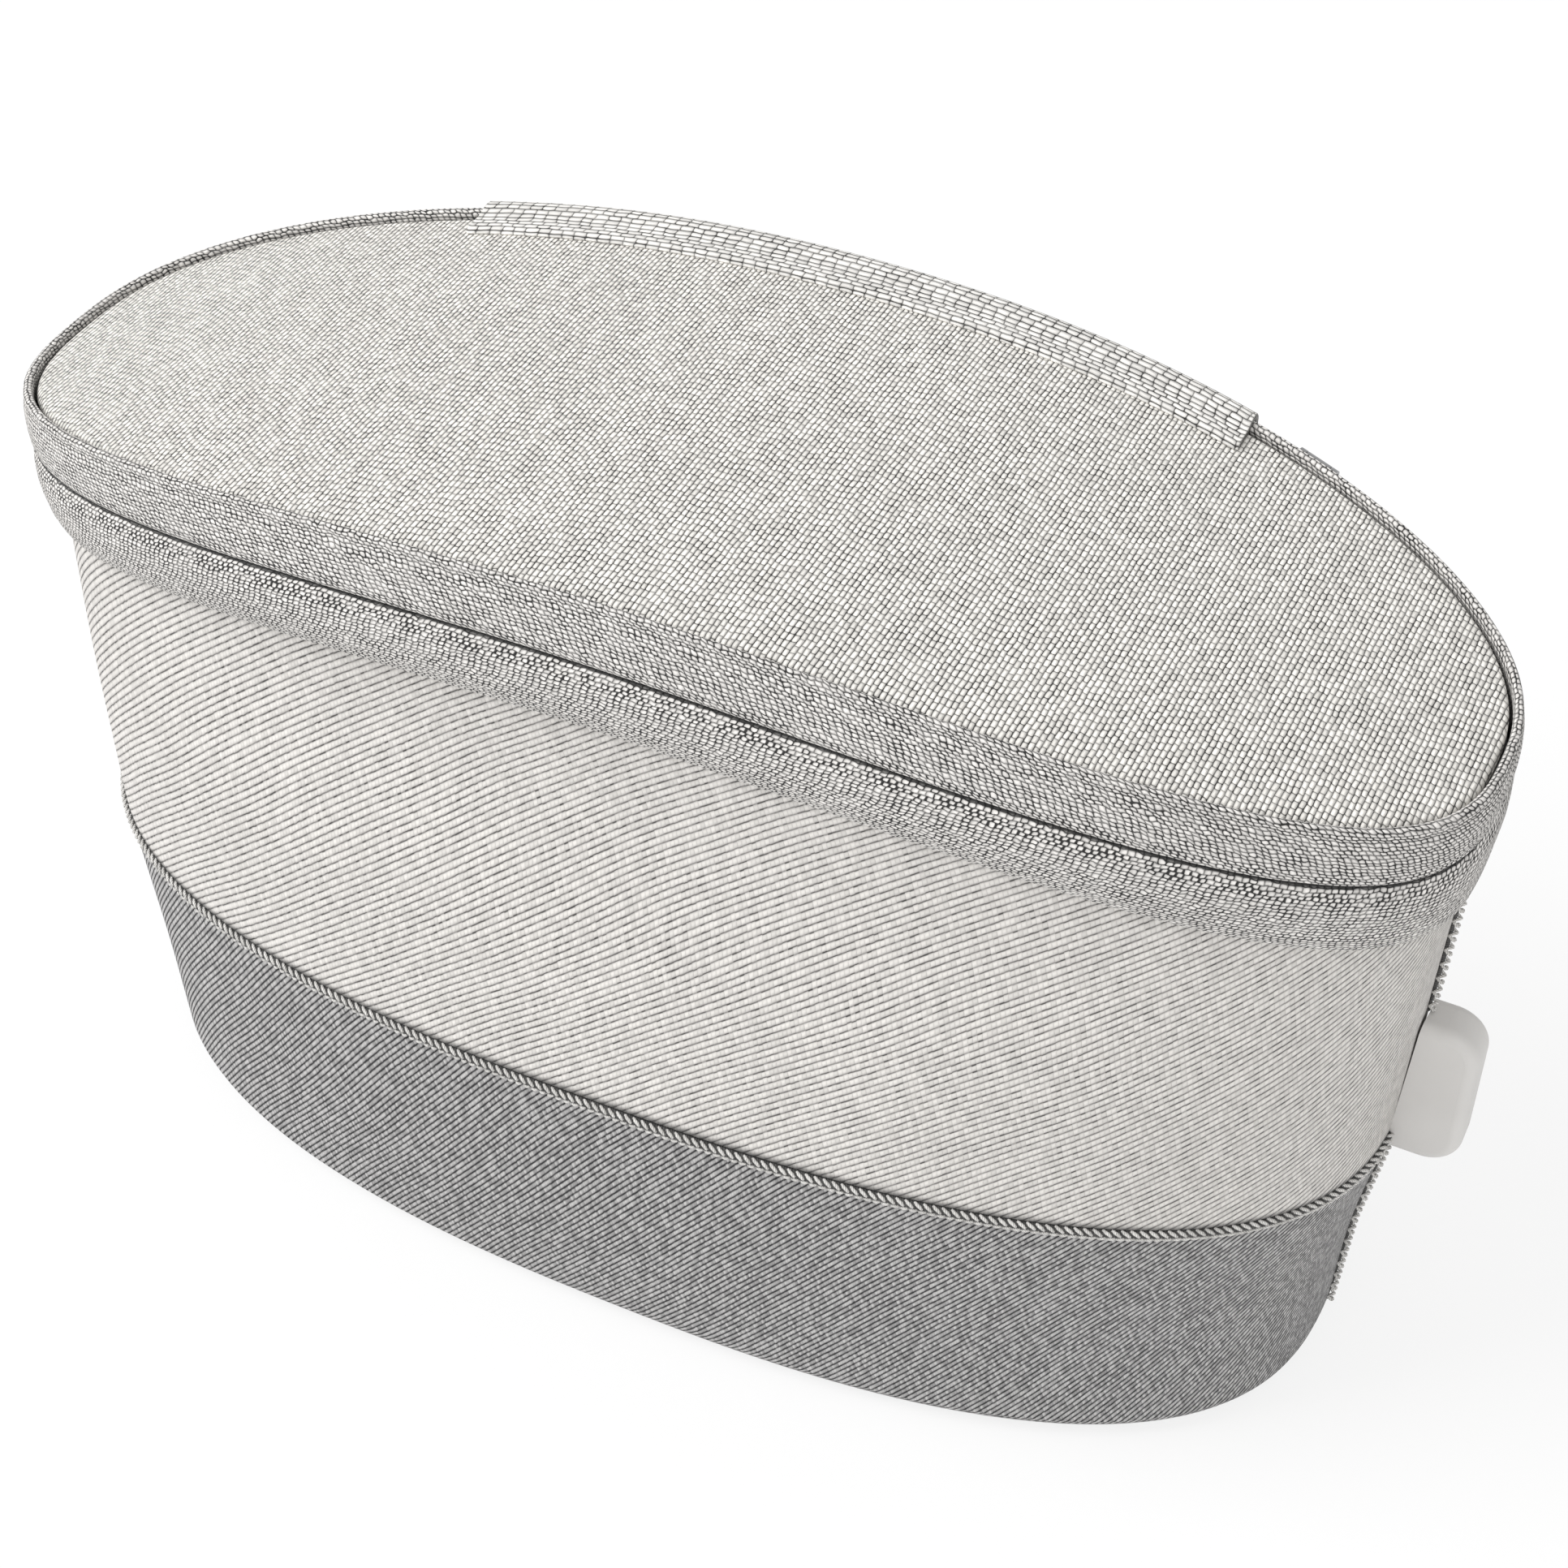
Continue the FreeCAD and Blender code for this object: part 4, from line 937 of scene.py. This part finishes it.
def strip_piece(index, low, high, run):
    """One length of the strip between two places along X; run holds the way round its section."""
    xs = np.linspace(low, high, sections_per_piece + 1)
    sections = [strip_section(x) for x in xs]
    first_end = index == 0
    last_end = index == strip_pieces - 1
    if first_end:
        sections = round_end(sections[0], -1) + sections
        xs = np.concatenate([[xs[0] - reach for reach, pull in strip_ends], xs])
    if last_end:
        sections = sections + round_end(sections[-1], 1)[::-1]
        xs = np.concatenate([xs, [xs[-1] + reach for reach, pull in strip_ends[::-1]]])
    points = np.concatenate(sections)
    faces = []
    uvs = []
    for i in range(len(sections) - 1):
        a = i * strip_points
        b = a + strip_points
        for j in range(strip_points):
            n = (j + 1) % strip_points
            faces.append((a + j, a + n, b + n, b + j))
            uvs += [(xs[i], run[j]), (xs[i], run[j + 1]), (xs[i + 1], run[j + 1]), (xs[i + 1], run[j])]
    last_start = (len(sections) - 1) * strip_points
    for wanted, start, order in ((first_end, 0, -1), (last_end, last_start, 1)):
        if not wanted:
            continue
        for face in end_faces(start, order):
            faces.append(face)
            uvs += [(points[corner][0], run[corner - start]) for corner in face]
    obj = mesh_object("hinge_fabric_%d" % (index + 1), points, faces, uvs)
    obj.data.flip_normals()
    return obj


def hinge_strip():
    """Fabric hinge folded over the back edge, in lengths."""
    sample = strip_section(0.0)
    run = profile_run(sample[:, None], 0)
    run = np.concatenate([run, [run[-1] + np.linalg.norm(sample[-1] - sample[0])]])
    edges = np.linspace(-strip_half_width, strip_half_width, strip_pieces + 1)
    for index, (low, high) in enumerate(zip(edges, edges[1:])):
        obj = strip_piece(index, low, high, run)
        dress(obj, strip_weave, None, "pale_weave")
        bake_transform(obj)
        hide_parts("hinge_strip_lid", "hinge_strip_body")


# Lining of the bag


def inner_outline(height, outline, rise=0.0):
    """Row of height, outline and arch for the lining inside an outer outline."""
    deep = 5.9
    a, b, n = outline
    return height, a - deep, b - deep, n, rise


def lining_walls(foot, top_height):
    """Walls of the lining, with holes for the lights and controls, and a flange over the foam."""
    light_hole = 6.0
    step = 1.6
    rows = np.asarray([
        foot,
        inner_outline(flank_height, flank_outline),
        inner_outline(seam_ends + 0.5 * seam_arch, seam_outline),
        inner_outline(chest_height, chest_outline),
        inner_outline(shoulder_height, shoulder_outline),
        inner_outline(top_height, shoulder_outline, zip_arch),
    ])
    stations = [rows[0]]
    for low, high in zip(rows, rows[1:]):
        parts = max(2, int((high[0] - low[0]) / step))
        stations += [low + (high - low) * s / parts for s in range(1, parts + 1)]
    rings = [wall_ring(a, b, n, z, rise, seam_turns) for z, a, b, n, rise in stations]
    a, b, n = rows[-1][1:4]
    flange = ((0.25, 0.7), (0.8, 1.25), (1.6, 1.4), (3.2, 1.4), (4.2, 1.35), (4.75, 1.0), (4.85, 0.2))
    for outward, up in flange:
        rings.append(wall_ring(a + outward, b + outward, n, top_height + up, zip_arch, seam_turns))
    lights = [sum(np.asarray(corner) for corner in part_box("uv_window_" + place)) / 2.0 / mm
              for place in light_places]
    behind_board = back_window("circuit_board", room_x=1.5, room_z=1.0)

    def cut(p, q):
        middle = 0.5 * (p + q)
        by_light = any(np.linalg.norm(middle - light) < light_hole for light in lights)
        return by_light or behind_board(middle)

    v = profile_run(rings, columns // 2)
    obj = loft("lining_walls", rings, seam_u, v, cut=cut)
    obj.data.flip_normals()
    dress(obj, liner_cloth, "bag_body", "bright_liner", "inner_liner")


def lining():
    """Reflecting lining: walls with a flange, and a floor that turns up to meet them."""
    floor = 13.55
    turn_up = 1.2
    foot = inner_outline(floor + turn_up, base_outline)
    lining_walls(foot, zip_ends - 3.2)
    a, b, n = foot[1:4]
    rings = []
    for k in np.linspace(0.02, 1.0, 24):
        x, y = oval(k * a, k * b, n, seam_turns)
        level = floor + turn_up * max(0.0, (k - 0.97) / 0.03) ** 2
        rings.append(ring_points(x, y, level))
    obj = disc("lining_floor", rings)
    dress(obj, liner_cloth, "bag_body", "bright_liner", "inner_liner")


# Side seam


def wall_end(z):
    """Half length of the outer wall at a height, on the right end; the same all above the shoulder."""
    heights = (0.0, wrap_lift + base_round, flank_height, seam_ends, chest_height, shoulder_height)
    lengths = (base_outline[0] - 4.0, base_outline[0], flank_outline[0], seam_length + seam_proud,
               chest_outline[0], shoulder_outline[0])
    return float(np.interp(z, heights, lengths))


def side_seam():
    """Scalloped loops of thread down the right end, on a cord that holds their feet."""
    spacing = 1.45
    loop_radius = 0.27
    cord_radius = 0.34
    below_tab = (5.5, 47.6)
    above_tab = (76.0, 103.4)
    paths = []
    cords = []
    for low, high in (below_tab, above_tab):
        for k, z in enumerate(np.arange(low, high, spacing)):
            t = np.linspace(0.0, 1.0, 11)
            swing = np.sin(math.pi * t)
            heights = z + 1.15 * spacing * (t - 0.5) + 0.25 * spacing * np.sin(2.0 * math.pi * t)
            feet = np.array([wall_end(h) for h in heights])
            lean = 0.28 * (-1.0) ** k * np.cos(math.pi * t)
            paths.append(np.stack([feet - 0.1 + swing ** 0.8, lean, heights], axis=1))
        rise = np.linspace(low - 0.5, high, 11)
        cords.append(np.stack([[wall_end(h) + 0.1 for h in rise], 0.0 * rise, rise], axis=1))
    obj = strands("seam_loops", paths, loop_radius, sides=7)
    dress(obj, thread_yarn, "bag_body", "seam_cord", "side_seam_tape")
    obj = strands("seam_cords", cords, cord_radius, sides=7)
    dress(obj, dark_thread, "bag_body", "seam_cord", "side_seam_tape")


# Rigid pieces


def paint(name, material, bevel=0.0):
    """Gives a node of the solids its material and, where wanted, rounded edges."""
    obj = cad[name]
    obj.data.materials.clear()
    obj.data.materials.append(material)
    if bevel:
        modifier = obj.modifiers.new("edge", "BEVEL")
        modifier.width = bevel * mm
        modifier.segments = 2
        modifier.limit_method = "ANGLE"
        modifier.angle_limit = math.radians(40.0)
        modifier.harden_normals = True


def rigid_pieces():
    """Materials of the nodes that no other piece replaces."""
    paint("grip_tab", silicone)
    for name in ("base_tray", "device_rack", "control_box"):
        paint(name, white_plastic, 0.3)
    for place in light_places:
        paint("uv_bezel_" + place, white_plastic, 0.15)
        paint("uv_window_" + place, window_glass)
        paint("uv_chip_" + place, chip_yellow, 0.1)
        paint("uv_board_" + place, circuit_green)
        paint("uv_lead_" + place, lead_white)
    paint("battery_lead", lead_white)
    paint("control_panel", grey_plastic, 0.2)
    paint("power_button", button_plastic, 0.2)
    paint("status_lens", lens_plastic, 0.1)
    paint("circuit_board", circuit_green)
    paint("battery_pack", battery_wrap, 0.4)
    for name in ("tact_switch", "switch_plunger", "lid_sensor"):
        paint(name, black_plastic, 0.1)
    for name in ("rack_screws", "circuit_screws", "lid_magnet", "mouth_wire", "lid_wire",
                 "charging_socket"):
        paint(name, steel)
    for name in ("zip_slider", "zip_pull", "zip_end_stops"):
        paint(name, zip_metal, 0.12)
    for name in ("foam_shell", "lid_core"):
        paint(name, foam_grey)


# Floor, light and camera


def floor_plane():
    """White floor that takes shadows, and glows where it's seen directly to meet the background."""
    half_size = 4.0
    glow_share = 0.8
    g = Graph("floor_white")
    path = g.tree.nodes.new("ShaderNodeLightPath")
    glow = g.tree.nodes.new("ShaderNodeEmission")
    mix = g.tree.nodes.new("ShaderNodeMixShader")
    seen = g.math("MAXIMUM", path.outputs["Is Camera Ray"], path.outputs["Is Glossy Ray"])
    seen = g.math("MAXIMUM", seen, path.outputs["Is Transmission Ray"])
    g.put(mix.inputs["Fac"], g.times(seen, glow_share))
    g.tree.links.new(g.shader.outputs["BSDF"], mix.inputs[1])
    g.tree.links.new(glow.outputs["Emission"], mix.inputs[2])
    out = next(n for n in g.tree.nodes if n.type == "OUTPUT_MATERIAL")
    g.tree.links.new(mix.outputs["Shader"], out.inputs["Surface"])
    corners = [(half_size * x, half_size * y, 0.0) for x, y in ((-1, -1), (1, -1), (1, 1), (-1, 1))]
    mesh = bpy.data.meshes.new("floor")
    mesh.from_pydata(corners, [], [(0, 1, 2, 3)])
    mesh.materials.append(g.finish((0.90, 0.90, 0.90), 0.9, Specular_IOR_Level=0.0))
    floor = bpy.data.objects.new("floor", mesh)
    bpy.context.scene.collection.objects.link(floor)


def white_light(tree, strength):
    """Even white background of a strength."""
    node = tree.nodes.new("ShaderNodeBackground")
    node.inputs["Color"].default_value = (1.0, 1.0, 1.0, 1.0)
    node.inputs["Strength"].default_value = strength
    return node.outputs[0]


def studio():
    """Even light from all round, where the camera itself sees plain white."""
    ambient_strength = 0.68
    world = bpy.data.worlds.new("studio")
    bpy.context.scene.world = world
    world.use_nodes = True
    tree = world.node_tree
    tree.nodes.clear()
    ray = tree.nodes.new("ShaderNodeLightPath")
    mix = tree.nodes.new("ShaderNodeMixShader")
    out = tree.nodes.new("ShaderNodeOutputWorld")
    tree.links.new(ray.outputs["Is Camera Ray"], mix.inputs["Fac"])
    tree.links.new(white_light(tree, ambient_strength), mix.inputs[1])
    tree.links.new(white_light(tree, 1.0), mix.inputs[2])
    tree.links.new(mix.outputs[0], out.inputs["Surface"])


def lamp(name, place, size, power):
    """Soft square lamp, in metres and watts, aimed at the middle of the bag."""
    data = bpy.data.lights.new(name, "AREA")
    data.shape = "SQUARE"
    data.size = size
    data.energy = power
    obj = bpy.data.objects.new(name, data)
    bpy.context.scene.collection.objects.link(obj)
    aim = Vector(camera_target) * mm - Vector(place)
    obj.rotation_euler = aim.to_track_quat("-Z", "Y").to_euler()
    obj.location = place


def camera():
    """Camera as fitted to the photo."""
    around = math.radians(camera_azimuth)
    up = math.radians(camera_elevation)
    back = Vector((math.sin(around) * math.cos(up), -math.cos(around) * math.cos(up), math.sin(up)))
    data = bpy.data.cameras.new("camera")
    data.lens = camera_lens
    data.sensor_width = camera_sensor
    data.sensor_fit = "HORIZONTAL"
    data.clip_start = 0.01
    obj = bpy.data.objects.new("camera", data)
    bpy.context.scene.collection.objects.link(obj)
    obj.location = (Vector(camera_target) + back * camera_distance) * mm
    obj.rotation_euler = (-back).to_track_quat("-Z", "Y").to_euler()
    bpy.context.scene.camera = obj


camera()
floor_plane()
studio()
lamp("key", (-1.5, -0.8, 2.0), size=1.4, power=46.0)
lamp("fill", (0.9, -1.5, 1.1), size=1.4, power=9.0)
upper_wrap()
lower_wrap()
underside()
zip_tapes()
zip_coils()
piping()
lid_cushion()
lid_lining()
hinge_strip()
lining()
side_seam()
rigid_pieces()
bpy.context.scene.view_settings.view_transform = "Standard"
